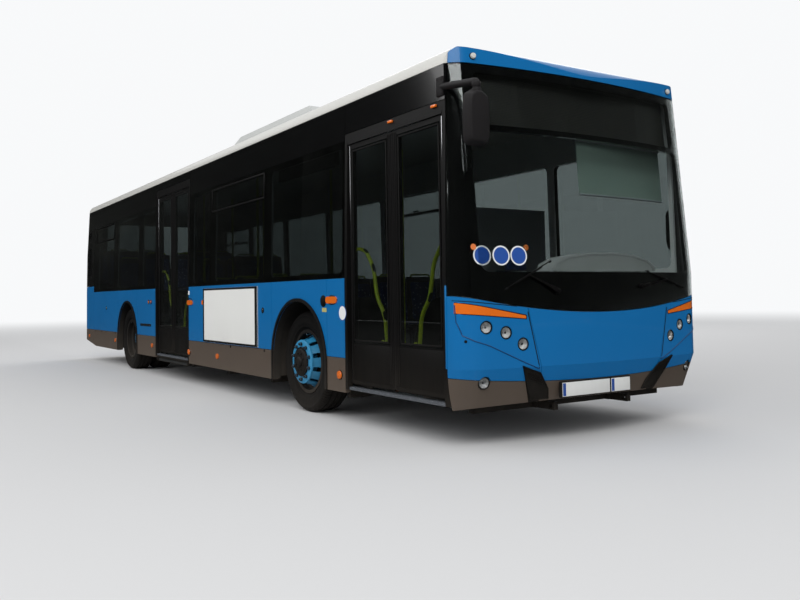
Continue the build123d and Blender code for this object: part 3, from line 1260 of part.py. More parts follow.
def make_mirrors():
    """A kerb side mirror that hangs ahead of the front corner, and a driver's mirror beside the cab window."""
    x, z, width, depth, height, radius = KERB_MIRROR
    tip_y = -OVERALL_LENGTH / 2 + depth / 2
    root_y = CORNER_Y + 50
    root_x = side_half(MIRROR_ROOT_Z)
    top = z + height / 2
    route = [(-root_x, root_y, MIRROR_ROOT_Z), (-x, tip_y, top + 40), (-x, tip_y, top - 30)]
    arm = bent_tube(radius, route, 35)
    base = side_block(
        -1, root_x - 20, root_x + 14, root_y - 40, root_y + 45, MIRROR_ROOT_Z - 75, MIRROR_ROOT_Z + 75
    )
    keep("mirrors", arm + base + mirror_head(-x, tip_y, z, width, depth, height) - skirted_envelope())
    x, y, z, width, depth, height, radius = SIDE_MIRROR
    root_x = HALF_WIDTH
    route = [
        (root_x - 10, y - 40, SIDE_ROOT_Z),
        (x, y - 40, SIDE_ROOT_Z),
        (x, y, z - height / 2 - 40),
        (x, y, z - height / 2 + 20),
    ]
    arm = bent_tube(radius, route, 40)
    base = side_block(1, root_x - 10, root_x + 12, y - 85, y + 5, SIDE_ROOT_Z - 45, SIDE_ROOT_Z + 45)
    keep("mirrors", arm + base + mirror_head(x, y, z, width, depth, height) - skirted_envelope())


def skirted_envelope():
    """The body's outer form with the thin gap that a part bolted to it keeps."""
    form = envelope(0)
    for side in (-1, 1):
        form += Pos(side * SEAT_GAP, 0, 0) * envelope(0)
    return form


def screen_y(x, z):
    """Where the front's outer surface lies at a place in the front view, away from the corners."""
    return front_at(z) + FRONT_RADIUS - sqrt(FRONT_RADIUS**2 - x**2)


ADVERT_Y = (saloon_y(353 / 5020), saloon_y(2019 / 5020))
ADVERT_Z = (574, 1219)
ADVERT_THICKNESS = 12
# Side marker lamps: side, y, z, length, height
SIDE_LAMPS = [
    (-1, REAR_AXLE_Y + 754, 430, 76, 60),
    (-1, SALOON[1] - 790, 430, 76, 60),
    (-1, saloon_y(1556 / 5020), 417, 76, 60),
    (-1, FRONT_AXLE_Y - 835, 417, 76, 60),
    (-1, FRONT_AXLE_Y - 695, 1066, 200, 60),
    (-1, saloon_y(2535 / 5020), 1050, 200, 60),
    (-1, saloon_y(2050 / 5020), 1050, 60, 60),
    (-1, REAR_Y - 304, 440, 60, 60),
    (1, REAR_AXLE_Y + 754, 430, 76, 60),
    (1, SALOON[1] - 840, 430, 76, 60),
    (1, saloon_y(1556 / 5020), 417, 76, 60),
    (1, FRONT_AXLE_Y - 835, 417, 76, 60),
    (1, FRONT_AXLE_Y - 695, 1066, 200, 60),
]
LAMP_THICKNESS = 12
DISPLAY_DEPTH = 40
UNIT_Y = (FRONT_AXLE_Y + 290, saloon_y(2090 / 5020))
UNIT_TOP_Z = 3110
UNIT_HALF = HALF_WIDTH - 425
# Roof hatches
HATCH_Y = (saloon_y(3440 / 5020), REAR_AXLE_Y + 520)
HATCH_LENGTH = 700
HATCH_WIDTH = 800
HATCH_TOP_Z = 2985
SIDE_DISPLAY_Y = (FRONT_AXLE_Y - 635, SALOON[0] - 7)
SIDE_DISPLAY_FOOT_Z = 2283
# Wipers: pivot x, pivot z, blade's inner end x, z, blade's outer end x, z
WIPERS = [
    (-490, 1195, -500, 1290, -930, 1125),
    (470, 1195, 480, 1270, 1000, 1125),
]


def make_outside():
    """Roof unit, displays, wipers, side lamps and advert board."""
    crown = Pos(0, 0, SEAT_GAP) * envelope(0)
    front, rear = UNIT_Y
    unit = [
        (front, ROOF_EDGE_Z),
        (front + 250, UNIT_TOP_Z),
        (rear - 250, UNIT_TOP_Z),
        (rear - 50, UNIT_TOP_Z - 60),
        (rear, ROOF_EDGE_Z),
    ]
    keep("roof_unit", along_x(unit, -UNIT_HALF, UNIT_HALF) - crown)
    for y in HATCH_Y:
        low, high = y - HATCH_LENGTH / 2, y + HATCH_LENGTH / 2
        hatch = [(low, ROOF_EDGE_Z), (low + 30, HATCH_TOP_Z), (high - 30, HATCH_TOP_Z), (high, ROOF_EDGE_Z)]
        keep("roof_unit", along_x(hatch, -HATCH_WIDTH / 2, HATCH_WIDTH / 2) - crown)
    foot, top = DISPLAY_FOOT_Z + 44, DISPLAY_TOP_Z - 10
    shape = [
        (front_at(foot) + 100, foot),
        (front_at(top) + 100, top),
        (front_at(top) + 120, top),
        (front_at(top) + 120, ROOF_FOOT_Z - SEAT_GAP),
        (front_at(top) + 170, ROOF_FOOT_Z - SEAT_GAP),
        (front_at(foot) + 170, foot),
    ]
    inside = envelope(WALL + LINING + SEAT_GAP)
    keep("displays", along_x(shape, 20 - DISPLAY_X, DISPLAY_X - 20) & inside)
    side_top = WINDOW_HEAD_Z + 30
    behind = side_half(side_top) - WALL - LINING - SEAT_GAP
    depth = (behind - DISPLAY_DEPTH, behind + 10)
    side_display = side_block(-1, *depth, *SIDE_DISPLAY_Y, SIDE_DISPLAY_FOOT_Z, side_top)
    keep("displays", side_display & inside)
    keep(
        "advert_board",
        side_block(-1, HALF_WIDTH + SEAT_GAP, HALF_WIDTH + ADVERT_THICKNESS, *ADVERT_Y, *ADVERT_Z),
    )
    for side, y, z, length, height in SIDE_LAMPS:
        lens = Pos(y, z) * SlotOverall(length, height) if length > height else Pos(y, z) * Circle(height / 2)
        start = HALF_WIDTH + SEAT_GAP if side > 0 else -HALF_WIDTH - LAMP_THICKNESS
        keep("indicators", Pos(start, 0, 0) * extrude(Plane.YZ * lens, amount=LAMP_THICKNESS - SEAT_GAP))
    for pivot_x, pivot_z, inner_x, inner_z, outer_x, outer_z in WIPERS:
        ends = []
        for x, z, lift in (
            (pivot_x, pivot_z, 30),
            ((inner_x + outer_x) / 2, (inner_z + outer_z) / 2, 34),
            (inner_x, inner_z, 15),
            (outer_x, outer_z, 15),
        ):
            ends.append((x, screen_y(x, z) - lift, z))
        pivot, middle, inner, outer = ends
        blade = bent_rod(8, inner, outer)
        arm = bent_rod(9, pivot, middle)
        stub = rod_y(16, pivot_x, pivot[1] - 10, screen_y(abs(pivot_x) - 16, pivot_z) - SEAT_GAP, pivot_z)
        carrier = bent_rod(7, middle, tuple((a + b) / 2 for a, b in zip(inner, outer)))
        keep("wipers", blade + arm + stub + carrier)


def bent_rod(radius, start, end):
    """A straight round rod between two points."""
    path = Line(start, end)
    return sweep(Plane(origin=start, z_dir=path % 0) * Circle(radius), path=path)


def write_parts():
    """Write each node as one STEP file."""
    os.makedirs("parts", exist_ok=True)
    for name, solids in parts.items():
        shape = solids[0] if len(solids) == 1 else Compound(children=solids)
        export_step(shape, f"parts/{name}.step")


make_side_walls()
make_arch_lips()
make_lining()
for door in door_edges:
    make_door_frame(door)
    for end in ("front", "rear"):
        make_leaf(door, end)
make_roof()
make_front()
make_rear()
make_chassis()
make_floor()
make_ramp()
make_wheels()
make_axles()
make_suspension()
make_saloon()
make_cab()
make_mirrors()
make_outside()
write_parts()
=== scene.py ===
"""The looks of a twelve-metre low-floor city bus, in metres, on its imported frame."""
import math

import bpy
import bmesh
from mathutils import Matrix, Vector


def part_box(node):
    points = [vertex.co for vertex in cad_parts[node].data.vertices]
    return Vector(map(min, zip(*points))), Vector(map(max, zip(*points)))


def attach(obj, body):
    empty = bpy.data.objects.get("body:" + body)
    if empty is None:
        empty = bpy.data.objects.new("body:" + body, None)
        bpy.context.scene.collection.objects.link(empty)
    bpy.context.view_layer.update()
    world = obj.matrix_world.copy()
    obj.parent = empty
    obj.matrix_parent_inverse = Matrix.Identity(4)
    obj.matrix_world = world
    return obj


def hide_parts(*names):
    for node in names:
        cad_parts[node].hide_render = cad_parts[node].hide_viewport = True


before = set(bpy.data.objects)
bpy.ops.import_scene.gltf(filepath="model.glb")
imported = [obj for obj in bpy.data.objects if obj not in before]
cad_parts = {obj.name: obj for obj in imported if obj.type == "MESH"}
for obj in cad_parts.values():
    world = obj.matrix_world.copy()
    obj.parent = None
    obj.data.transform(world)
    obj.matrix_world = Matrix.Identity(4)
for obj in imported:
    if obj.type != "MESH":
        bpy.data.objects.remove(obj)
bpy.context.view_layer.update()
scene = bpy.context.scene
scene.view_settings.view_transform = "Standard"

PICTURE_WIDTH = 800
PICTURE_HEIGHT = 600
FOCAL_PIXELS = 809.653
PRINCIPAL = (391.638, 261.478)
CAMERA_PLACE = (-4.6815, -10.1765, 1.0900)
CAMERA_YAW = math.radians(32.5158)
CAMERA_PITCH = math.radians(2.4625)
CAMERA_ROLL = math.radians(-0.8989)

HALF_WIDTH = 1.275
FRONT_Y = -5.85
FRONT_AXLE_Y = -3.14
REAR_AXLE_Y = 3.08
HUB_Z = 0.479
ARCH_Z = 0.49
ARCH_RADIUS = 0.565
SKIRT_FOOT_Z = 0.27
FRONT_WHEEL_X = 1.06
REAR_WHEEL_X = 0.93
TWIN_SPACING = 0.322
WAIST_Z = 1.254
ROOF_EDGE_Z = 2.885
TUMBLE = 0.033
RAKE_FOOT_Z = 1.25
RAKE_SLOPE = 0.092
TUCK_TOP_Z = 0.57
TUCK_SLOPE = 0.42
FRONT_RADIUS = 6.9
WALL_FACE_X = 1.2755
DOOR_FACE_X = -1.2402
DOOR_MIDDLE_X = -1.2215
ROOF_UNIT_TOP_Z = 3.11
# Where rays start that look for the bus's surface, ahead, behind and above
AHEAD_Y = -9.0
BEHIND_Y = 9.0
ABOVE_Z = 5.0


def side_half(z):
    """Half the body's width at a height."""
    return HALF_WIDTH - TUMBLE * max(0, z - WAIST_Z) / (ROOF_EDGE_Z - WAIST_Z)


def front_at(z):
    """Where the centre of the front lies at a height."""
    return FRONT_Y + RAKE_SLOPE * max(0, z - RAKE_FOOT_Z) + TUCK_SLOPE * max(0, TUCK_TOP_Z - z)


def face_y(x, z):
    """Where the front's outer surface lies, away from the corners."""
    return front_at(z) + FRONT_RADIUS - math.sqrt(FRONT_RADIUS**2 - x**2)


# Camera


def set_camera():
    """The camera at the photograph's place, with its principal point off the middle."""
    ahead = Vector(
        (
            math.sin(CAMERA_YAW) * math.cos(CAMERA_PITCH),
            math.cos(CAMERA_YAW) * math.cos(CAMERA_PITCH),
            math.sin(CAMERA_PITCH),
        )
    )
    level = Vector((math.cos(CAMERA_YAW), -math.sin(CAMERA_YAW), 0))
    up = level.cross(ahead)
    right = math.cos(CAMERA_ROLL) * level + math.sin(CAMERA_ROLL) * up
    above = math.cos(CAMERA_ROLL) * up - math.sin(CAMERA_ROLL) * level
    data = bpy.data.cameras.new("camera")
    data.sensor_width = 36
    data.lens = FOCAL_PIXELS / PICTURE_WIDTH * data.sensor_width
    data.shift_x = (PICTURE_WIDTH / 2 - PRINCIPAL[0]) / PICTURE_WIDTH
    data.shift_y = (PRINCIPAL[1] - PICTURE_HEIGHT / 2) / PICTURE_WIDTH
    data.clip_end = 400
    camera = bpy.data.objects.new("camera", data)
    turn = Matrix((right, above, -ahead)).transposed().to_4x4()
    camera.matrix_world = Matrix.Translation(CAMERA_PLACE) @ turn
    scene.collection.objects.link(camera)
    scene.camera = camera


set_camera()


# Shader groups and finishes


def colour_of(red, green, blue):
    """A screen colour of 0 to 255 as linear values."""
    values = []
    for part in (red, green, blue):
        part /= 255
        values.append(part / 12.92 if part <= 0.04045 else ((part + 0.055) / 1.055) ** 2.4)
    return (*values, 1.0)


def new_group(name, inputs, outputs):
    """An empty shader group with named sockets; each input is (name, kind, default)."""
    group = bpy.data.node_groups.new(name, "ShaderNodeTree")
    for socket_name, kind, default in inputs:
        socket = group.interface.new_socket(socket_name, in_out="INPUT", socket_type="NodeSocket" + kind)
        if default is not None:
            socket.default_value = default
    for socket_name, kind in outputs:
        group.interface.new_socket(socket_name, in_out="OUTPUT", socket_type="NodeSocket" + kind)
    start = group.nodes.new("NodeGroupInput")
    end = group.nodes.new("NodeGroupOutput")
    return group, start, end


def maths(tree, operation, first, second=None, clamp=False):
    """A Math node on links or plain numbers; returns its output."""
    node = tree.nodes.new("ShaderNodeMath")
    node.operation = operation
    node.use_clamp = clamp
    for socket, value in zip(node.inputs, (first, second)):
        if value is None:
            continue
        if isinstance(value, (int, float)):
            socket.default_value = value
        else:
            tree.links.new(value, socket)
    return node.outputs[0]


def blend_colours(tree, factor, first, second, mode="MIX"):
    """A colour Mix node; returns its output."""
    node = tree.nodes.new("ShaderNodeMix")
    node.data_type = "RGBA"
    node.blend_type = mode
    sockets = (node.inputs[0], node.inputs[6], node.inputs[7])
    for socket, value in zip(sockets, (factor, first, second)):
        if isinstance(value, (int, float, tuple)):
            socket.default_value = value
        else:
            tree.links.new(value, socket)
    return node.outputs[2]


def noise(tree, vector, scale, detail=3.0, stretch=None):
    """A Noise Texture's value, on coordinates that may be stretched."""
    if stretch:
        mapping = tree.nodes.new("ShaderNodeMapping")
        mapping.inputs["Scale"].default_value = stretch
        tree.links.new(vector, mapping.inputs["Vector"])
        vector = mapping.outputs[0]
    node = tree.nodes.new("ShaderNodeTexNoise")
    node.inputs["Detail"].default_value = detail
    tree.links.new(vector, node.inputs["Vector"])
    if isinstance(scale, (int, float)):
        node.inputs["Scale"].default_value = scale
    else:
        tree.links.new(scale, node.inputs["Scale"])
    return node.outputs[0]


def split_axes(group, start):
    """A group's coordinates taken apart."""
    split = group.nodes.new("ShaderNodeSeparateXYZ")
    group.links.new(start.outputs["Vector"], split.inputs[0])
    return split.outputs


def make_shade_group():
    """Slow drifts of a colour's brightness, as on a large sheet."""
    group, start, end = new_group(
        "Slow Drift",
        [
            ("Vector", "Vector", None), ("Colour", "Color", None), ("Scale", "Float", 2.0),
            ("Amount", "Float", 0.1),
        ],
        [("Colour", "Color")],
    )
    cloud = noise(group, start.outputs["Vector"], start.outputs["Scale"], 4.0)
    centred = maths(group, "MULTIPLY", maths(group, "SUBTRACT", cloud, 0.5), 2.0)
    value = maths(group, "ADD", maths(group, "MULTIPLY", centred, start.outputs["Amount"]), 1.0)
    shade = group.nodes.new("ShaderNodeHueSaturation")
    group.links.new(value, shade.inputs["Value"])
    group.links.new(start.outputs["Colour"], shade.inputs["Color"])
    group.links.new(shade.outputs[0], end.inputs["Colour"])
    return group


def make_film_group():
    """Road film: dust that thickens towards the road, broken by clouds and rain streaks."""
    group, start, end = new_group(
        "Road Film",
        [("Vector", "Vector", None), ("Top", "Float", 1.2), ("Strength", "Float", 0.5)],
        [("Mask", "Float")],
    )
    axes = split_axes(group, start)
    depth = maths(group, "SUBTRACT", start.outputs["Top"], axes["Z"])
    share = maths(group, "DIVIDE", depth, start.outputs["Top"], clamp=True)
    fall = maths(group, "POWER", share, 1.6)
    clouds = noise(group, start.outputs["Vector"], 3.5, 5.0)
    streaks = noise(group, start.outputs["Vector"], 1.0, 3.0, (26.0, 26.0, 1.6))
    broken = maths(
        group, "ADD", maths(group, "MULTIPLY", clouds, 0.9), maths(group, "MULTIPLY", streaks, 0.8)
    )
    spread = maths(group, "MULTIPLY", fall, broken)
    mask = maths(group, "MULTIPLY", spread, start.outputs["Strength"], clamp=True)
    group.links.new(mask, end.inputs["Mask"])
    return group


def make_grain_group():
    """Fine grain of paint, plastic or rubber, as a height."""
    group, start, end = new_group(
        "Fine Grain",
        [("Vector", "Vector", None), ("Scale", "Float", 200.0), ("Wave", "Float", 0.3)],
        [("Height", "Float")],
    )
    grain = noise(group, start.outputs["Vector"], start.outputs["Scale"], 2.0)
    slow = noise(group, start.outputs["Vector"], 5.0, 1.0)
    waves = maths(group, "MULTIPLY", slow, start.outputs["Wave"])
    group.links.new(maths(group, "ADD", grain, waves), end.inputs["Height"])
    return group


def make_dot_group():
    """A square grid of round dots in one of the coordinate planes, as a mask."""
    group, start, end = new_group(
        "Dot Grid",
        [("Vector", "Vector", None), ("Pitch", "Float", 0.01), ("Radius", "Float", 0.3)],
        [("Mask", "Float")],
    )
    axes = split_axes(group, start)
    squares = []
    for axis in ("X", "Y"):
        cell = maths(group, "FRACT", maths(group, "DIVIDE", axes[axis], start.outputs["Pitch"]))
        off = maths(group, "SUBTRACT", cell, 0.5)
        squares.append(maths(group, "MULTIPLY", off, off))
    reach = maths(group, "SQRT", maths(group, "ADD", squares[0], squares[1]))
    group.links.new(maths(group, "LESS_THAN", reach, start.outputs["Radius"]), end.inputs["Mask"])
    return group


def make_weave_group():
    """Warp and weft of a plush fabric, as a height."""
    group, start, end = new_group(
        "Plush Weave",
        [("Vector", "Vector", None), ("Pitch", "Float", 0.002)],
        [("Height", "Float")],
    )
    axes = split_axes(group, start)
    waves = []
    for axis in ("X", "Y", "Z"):
        angle = maths(group, "DIVIDE", axes[axis], start.outputs["Pitch"])
        waves.append(maths(group, "SINE", maths(group, "MULTIPLY", angle, 6.283)))
    product = maths(group, "MULTIPLY", waves[0], waves[1])
    group.links.new(maths(group, "ADD", product, waves[2]), end.inputs["Height"])
    return group


drift_group = make_shade_group()
film_group = make_film_group()
grain_group = make_grain_group()
dot_group = make_dot_group()
weave_group = make_weave_group()
DUST = colour_of(122, 112, 100)
DRIFT_SCALE = 1.5
COAT_ROUGHNESS = 0.04
# Specular level of surfaces without a shine
MATT = 0.2
GLASS_INDEX = 1.45
finishes = {}


def placed(tree, group, vector, **values):
    """A group placed in a material, with its own values; returns the node."""
    node = tree.nodes.new("ShaderNodeGroup")
    node.node_tree = group
    tree.links.new(vector, node.inputs["Vector"])
    for name, value in values.items():
        socket = node.inputs[name]
        if isinstance(value, (int, float, tuple)):
            socket.default_value = value
        else:
            tree.links.new(value, socket)
    return node


def drifted(tree, vector, colour, scale, amount):
    """A colour with slow drifts of brightness; returns its output."""
    return placed(tree, drift_group, vector, Colour=colour, Scale=scale, Amount=amount).outputs["Colour"]


def bumped(tree, shader, height, depth, strength):
    """Gives a shader a height as bump."""
    lift = tree.nodes.new("ShaderNodeBump")
    lift.inputs["Strength"].default_value = strength
    lift.inputs["Distance"].default_value = depth
    tree.links.new(height, lift.inputs["Height"])
    tree.links.new(lift.outputs[0], shader.inputs["Normal"])


def mixed(tree, factor, first, second):
    """Two shaders mixed by a factor; returns the output."""
    mix = tree.nodes.new("ShaderNodeMixShader")
    for socket, link in zip(mix.inputs, (factor, first, second)):
        tree.links.new(link, socket)
    return mix.outputs[0]


def seen_straight(tree):
    """One for rays that come from the camera, a reflection or through glass."""
    path = tree.nodes.new("ShaderNodeLightPath")
    seen = maths(tree, "MAXIMUM", path.outputs["Is Camera Ray"], path.outputs["Is Glossy Ray"])
    return maths(tree, "MAXIMUM", seen, path.outputs["Is Transmission Ray"])


def begin(name):
    """A new material's tree, its shader and the object's own coordinates."""
    made = bpy.data.materials.new(name)
    made.use_nodes = True
    tree = made.node_tree
    shader = tree.nodes["Principled BSDF"]
    coordinates = tree.nodes.new("ShaderNodeTexCoord").outputs["Object"]
    finishes[name] = made
    return tree, shader, coordinates


def coated(
    name,
    colour,
    roughness,
    metallic=0.0,
    coat=0.0,
    drift=0.06,
    film=0.0,
    film_top=1.2,
    grain=200.0,
    wave=0.3,
    depth=0.0002,
    bump=0.25,
    specular=0.5,
):
    """A painted, moulded or cast surface with drift, road film and fine grain."""
    tree, shader, where = begin(name)
    shaded = drifted(tree, where, colour_of(*colour), DRIFT_SCALE, drift)
    if film:
        mask = placed(tree, film_group, where, Top=film_top, Strength=film).outputs["Mask"]
        shaded = blend_colours(tree, mask, shaded, DUST)
        rough = maths(tree, "ADD", maths(tree, "MULTIPLY", mask, 0.8 - roughness), roughness)
        tree.links.new(rough, shader.inputs["Roughness"])
        if coat:
            clean = maths(tree, "SUBTRACT", 1.0, mask)
            tree.links.new(maths(tree, "MULTIPLY", clean, coat), shader.inputs["Coat Weight"])
    else:
        shader.inputs["Roughness"].default_value = roughness
        shader.inputs["Coat Weight"].default_value = coat
    tree.links.new(shaded, shader.inputs["Base Color"])
    shader.inputs["Metallic"].default_value = metallic
    shader.inputs["Coat Roughness"].default_value = COAT_ROUGHNESS
    shader.inputs["Specular IOR Level"].default_value = specular
    height = placed(tree, grain_group, where, Scale=grain, Wave=wave).outputs["Height"]
    bumped(tree, shader, height, depth, bump)


def glazed(name, colour, film, film_top=1.6):
    """Glass that lets lamplight through to what is behind it."""
    tree, shader, where = begin(name)
    shaded = drifted(tree, where, (*colour, 1.0), 1.0, 0.05)
    mask = placed(tree, film_group, where, Top=film_top, Strength=film).outputs["Mask"]
    tree.links.new(shaded, shader.inputs["Base Color"])
    tree.links.new(maths(tree, "MULTIPLY", mask, 0.25), shader.inputs["Roughness"])
    shader.inputs["Transmission Weight"].default_value = 1.0
    shader.inputs["IOR"].default_value = GLASS_INDEX
    through = tree.nodes.new("ShaderNodeBsdfTransparent")
    through.inputs["Color"].default_value = (*(math.sqrt(part) for part in colour), 1.0)
    path = tree.nodes.new("ShaderNodeLightPath")
    choice = mixed(tree, path.outputs["Is Shadow Ray"], shader.outputs[0], through.outputs[0])
    tree.links.new(choice, tree.nodes["Material Output"].inputs["Surface"])


def make_finishes():
    """Every finish of the bus."""
    coated(
        "blue_paint", (0, 104, 166), 0.3, coat=0.3, drift=0.05, film=0.06, film_top=0.85, grain=90, wave=2.0,
        specular=0.3,
    )
    coated("skirt_paint", (84, 72, 62), 0.5, coat=0.1, drift=0.1, film=0.4, film_top=0.75, grain=300)
    coated("roof_paint", (203, 202, 196), 0.4, coat=0.25, drift=0.05, grain=90, wave=1.0)
    coated("unit_paint", (206, 208, 206), 0.5, coat=0.1, drift=0.07, grain=160)
    coated(
        "gloss_black", (6, 6, 7), 0.12, coat=0.3, drift=0.2, film=0.05, film_top=1.4, grain=80, wave=1.5,
        specular=0.35,
    )
    coated("frame_black", (12, 11, 11), 0.45, drift=0.2, film=0.2, film_top=0.8, grain=350, specular=MATT)
    coated(
        "moulded_black", (11, 11, 11), 0.6, drift=0.2, film=0.25, film_top=0.8, grain=500, bump=0.4,
        specular=MATT,
    )
    coated(
        "seal_rubber", (14, 13, 13), 0.75, drift=0.25, film=0.25, film_top=0.9, grain=400, bump=0.5,
        specular=MATT,
    )
    coated("lining_panel", (196, 198, 198), 0.5, drift=0.05, grain=500, bump=0.4)
    coated("interior_grey", (128, 132, 136), 0.6, drift=0.08, grain=500, bump=0.5)
    coated("interior_dark", (44, 46, 49), 0.65, drift=0.1, grain=700, bump=0.6)
    coated("dash_grey", (150, 152, 152), 0.6, drift=0.06, grain=700, bump=0.6)
    coated(
        "housing_dark", (20, 20, 20), 0.85, drift=0.3, film=0.35, film_top=1.2, grain=120, depth=0.001,
        specular=MATT,
    )
    coated(
        "cast_dark", (26, 25, 24), 0.8, 0.2, drift=0.3, film=0.4, film_top=0.9, grain=160, depth=0.001,
        specular=MATT,
    )
    coated("engine_grey", (78, 80, 82), 0.65, 0.4, drift=0.3, film=0.5, film_top=1.2, grain=120, depth=0.001)
    coated("ramp_metal", (150, 152, 154), 0.35, 1.0, drift=0.15, film=0.5, film_top=0.5, grain=260)
    coated("bright_metal", (205, 207, 210), 0.2, 1.0, drift=0.08, grain=400)
    coated("chrome", (232, 234, 236), 0.06, 1.0, drift=0.03, grain=120, wave=1.0, bump=0.1)
    coated("wheel_paint", (38, 140, 188), 0.4, coat=0.25, drift=0.12, film=0.25, film_top=1.0, grain=220)
    coated(
        "hub_paint", (15, 16, 18), 0.55, drift=0.3, film=0.15, film_top=1.1, grain=220, depth=0.0006,
        specular=MATT,
    )
    coated("nut_steel", (52, 54, 58), 0.45, 0.7, drift=0.2, film=0.3, film_top=1.1, grain=200)
    coated("note_cream", (178, 170, 104), 0.6, drift=0.1, grain=400)
    coated("lamp_bowl", (222, 222, 220), 0.32, 0.25, drift=0.05, grain=200)
    coated(
        "tyre_rubber", (9, 8, 8), 0.85, drift=0.25, film=0.1, film_top=1.0, grain=260, depth=0.0006, bump=0.5,
        specular=MATT,
    )
    # A darker copy of blue_paint for the creases below the headlamps: painted shade of the creases
    coated("crease_shade_blue", (0, 62, 112), 0.35, coat=0.3, drift=0.05, grain=90)
    coated(
        "mirror_shell", (30, 28, 29), 0.6, drift=0.15, film=0.1, film_top=1.0, grain=700, bump=0.6,
        specular=MATT,
    )
    coated("guard_grey", (120, 124, 126), 0.55, drift=0.1, grain=300)
    coated("rail_lime", (196, 214, 42), 0.35, coat=0.5, drift=0.05, grain=300)
    coated(
        "amber_lens", (226, 108, 22), 0.16, coat=1.0, drift=0.08, film=0.2, film_top=1.1, grain=60, wave=1.0
    )
    coated("red_lens", (158, 18, 18), 0.14, coat=1.0, drift=0.08, film=0.2, film_top=1.4, grain=60, wave=1.0)
    coated("smoked_lens", (24, 25, 28), 0.12, coat=1.0, drift=0.1, grain=60)
    coated("white_board", (236, 236, 232), 0.4, coat=0.2, drift=0.03, film=0.4, film_top=1.0, grain=300)
    coated("plate_white", (226, 227, 224), 0.38, coat=0.3, drift=0.05, film=0.35, film_top=0.7, grain=300)
    coated("plate_blue", (34, 74, 150), 0.38, coat=0.3, drift=0.05, grain=300)
    coated("disc_blue", (30, 78, 160), 0.4, drift=0.03, grain=300)
    coated("disc_white", (230, 232, 232), 0.4, drift=0.03, grain=300)
    coated("tab_orange", (222, 120, 58), 0.45, drift=0.05, grain=300)
    coated("roller_blind", (118, 136, 128), 0.6, drift=0.05, grain=900)
    coated("seat_shell", (52, 60, 72), 0.45, drift=0.06, grain=500, bump=0.4)
    glazed("side_glass", (0.13, 0.15, 0.15), film=0.04)
    glazed("door_glass", (0.36, 0.4, 0.4), film=0.1)
    glazed("screen_glass", (0.78, 0.83, 0.82), film=0.03)
    glazed("lamp_glass", (0.93, 0.94, 0.95), film=0.1, film_top=1.0)
    make_floor_vinyl()
    make_display_face()
    make_seat_cloth()


def make_floor_vinyl():
    """Speckled safety flooring."""
    tree, shader, where = begin("floor_vinyl")
    base = drifted(tree, where, colour_of(74, 78, 84), 1.2, 0.12)
    flecks = maths(tree, "GREATER_THAN", noise(tree, where, 260.0, 1.0), 0.66)
    tree.links.new(blend_colours(tree, flecks, base, colour_of(150, 154, 158)), shader.inputs["Base Color"])
    rough = maths(tree, "SUBTRACT", 0.7, maths(tree, "MULTIPLY", flecks, 0.35))
    tree.links.new(rough, shader.inputs["Roughness"])
    bumped(tree, shader, noise(tree, where, 300.0, 2.0), 0.0005, 0.3)


def make_display_face():
    """The dark face of an unlit display, with its grid of small lamps."""
    for name, axes in (("display_front", (0, 2)), ("display_side", (1, 2))):
        tree, shader, where = begin(name)
        split = tree.nodes.new("ShaderNodeSeparateXYZ")
        join = tree.nodes.new("ShaderNodeCombineXYZ")
        tree.links.new(where, split.inputs[0])
        for target, source in enumerate(axes):
            tree.links.new(split.outputs[source], join.inputs[target])
        dots = placed(tree, dot_group, join.outputs[0], Pitch=0.0125, Radius=0.3).outputs["Mask"]
        face = blend_colours(tree, dots, colour_of(14, 14, 15), colour_of(44, 42, 34))
        tree.links.new(face, shader.inputs["Base Color"])
        tree.links.new(
            maths(tree, "SUBTRACT", 0.6, maths(tree, "MULTIPLY", dots, 0.3)), shader.inputs["Roughness"]
        )


def make_seat_cloth():
    """Blue plush with small light flecks."""
    tree, shader, where = begin("seat_cloth")
    base = drifted(tree, where, colour_of(38, 66, 128), 4.0, 0.15)
    specks = tree.nodes.new("ShaderNodeTexVoronoi")
    specks.inputs["Scale"].default_value = 26.0
    tree.links.new(where, specks.inputs["Vector"])
    marks = maths(tree, "LESS_THAN", specks.outputs["Distance"], 0.22)
    tree.links.new(blend_colours(tree, marks, base, colour_of(150, 176, 204)), shader.inputs["Base Color"])
    shader.inputs["Roughness"].default_value = 0.95
    shader.inputs["Sheen Weight"].default_value = 0.4
    height = placed(tree, weave_group, where, Pitch=0.003).outputs["Height"]
    bumped(tree, shader, height, 0.0006, 0.5)


make_finishes()

# CAD nodes and the finish each one shows
NODE_FINISHES = {
    "advert_board": "white_board",
    "arch_lips": "seal_rubber",
    "axles": "cast_dark",
    "bumpers": "skirt_paint",
    "cab_partition": "interior_grey",
    "cab_door": "interior_grey",
    "cantrails": "gloss_black",
    "chassis": "frame_black",
    "dashboard": "dash_grey",
    "displays": "display_front",
    "door_frames": "frame_black",
    "door_gear": "interior_grey",
    "engine_block": "engine_grey",
    "engine_door": "blue_paint",
    "floor": "floor_vinyl",
    "front_panel": "blue_paint",
    "glass": "side_glass",
    "grilles": "moulded_black",
    "handrails": "rail_lime",
    "headlamps": "lamp_glass",
    "indicators": "amber_lens",
    "lining": "lining_panel",
    "mirrors": "moulded_black",
    "ramp": "ramp_metal",
    "rear_lamps": "red_lens",
    "rear_wall": "blue_paint",
    "roof": "roof_paint",
    "roof_cap": "blue_paint",
    "roof_unit": "unit_paint",
    "seats": "seat_shell",
    "side_panels": "blue_paint",
    "skirts": "skirt_paint",
    "steering_wheel": "moulded_black",
    "suspension": "cast_dark",
    "wheel_housings": "housing_dark",
    "window_frames": "gloss_black",
    "windscreen": "screen_glass",
    "wipers": "moulded_black",
}


# Finishes of repeated nodes, by how their names start
START_FINISHES = {
    "leaf_glass": "door_glass",
    "leaf_": "frame_black",
    "post_": "frame_black",
    "tyre": "tyre_rubber",
    "rim": "wheel_paint",
    "knuckle": "cast_dark",
}


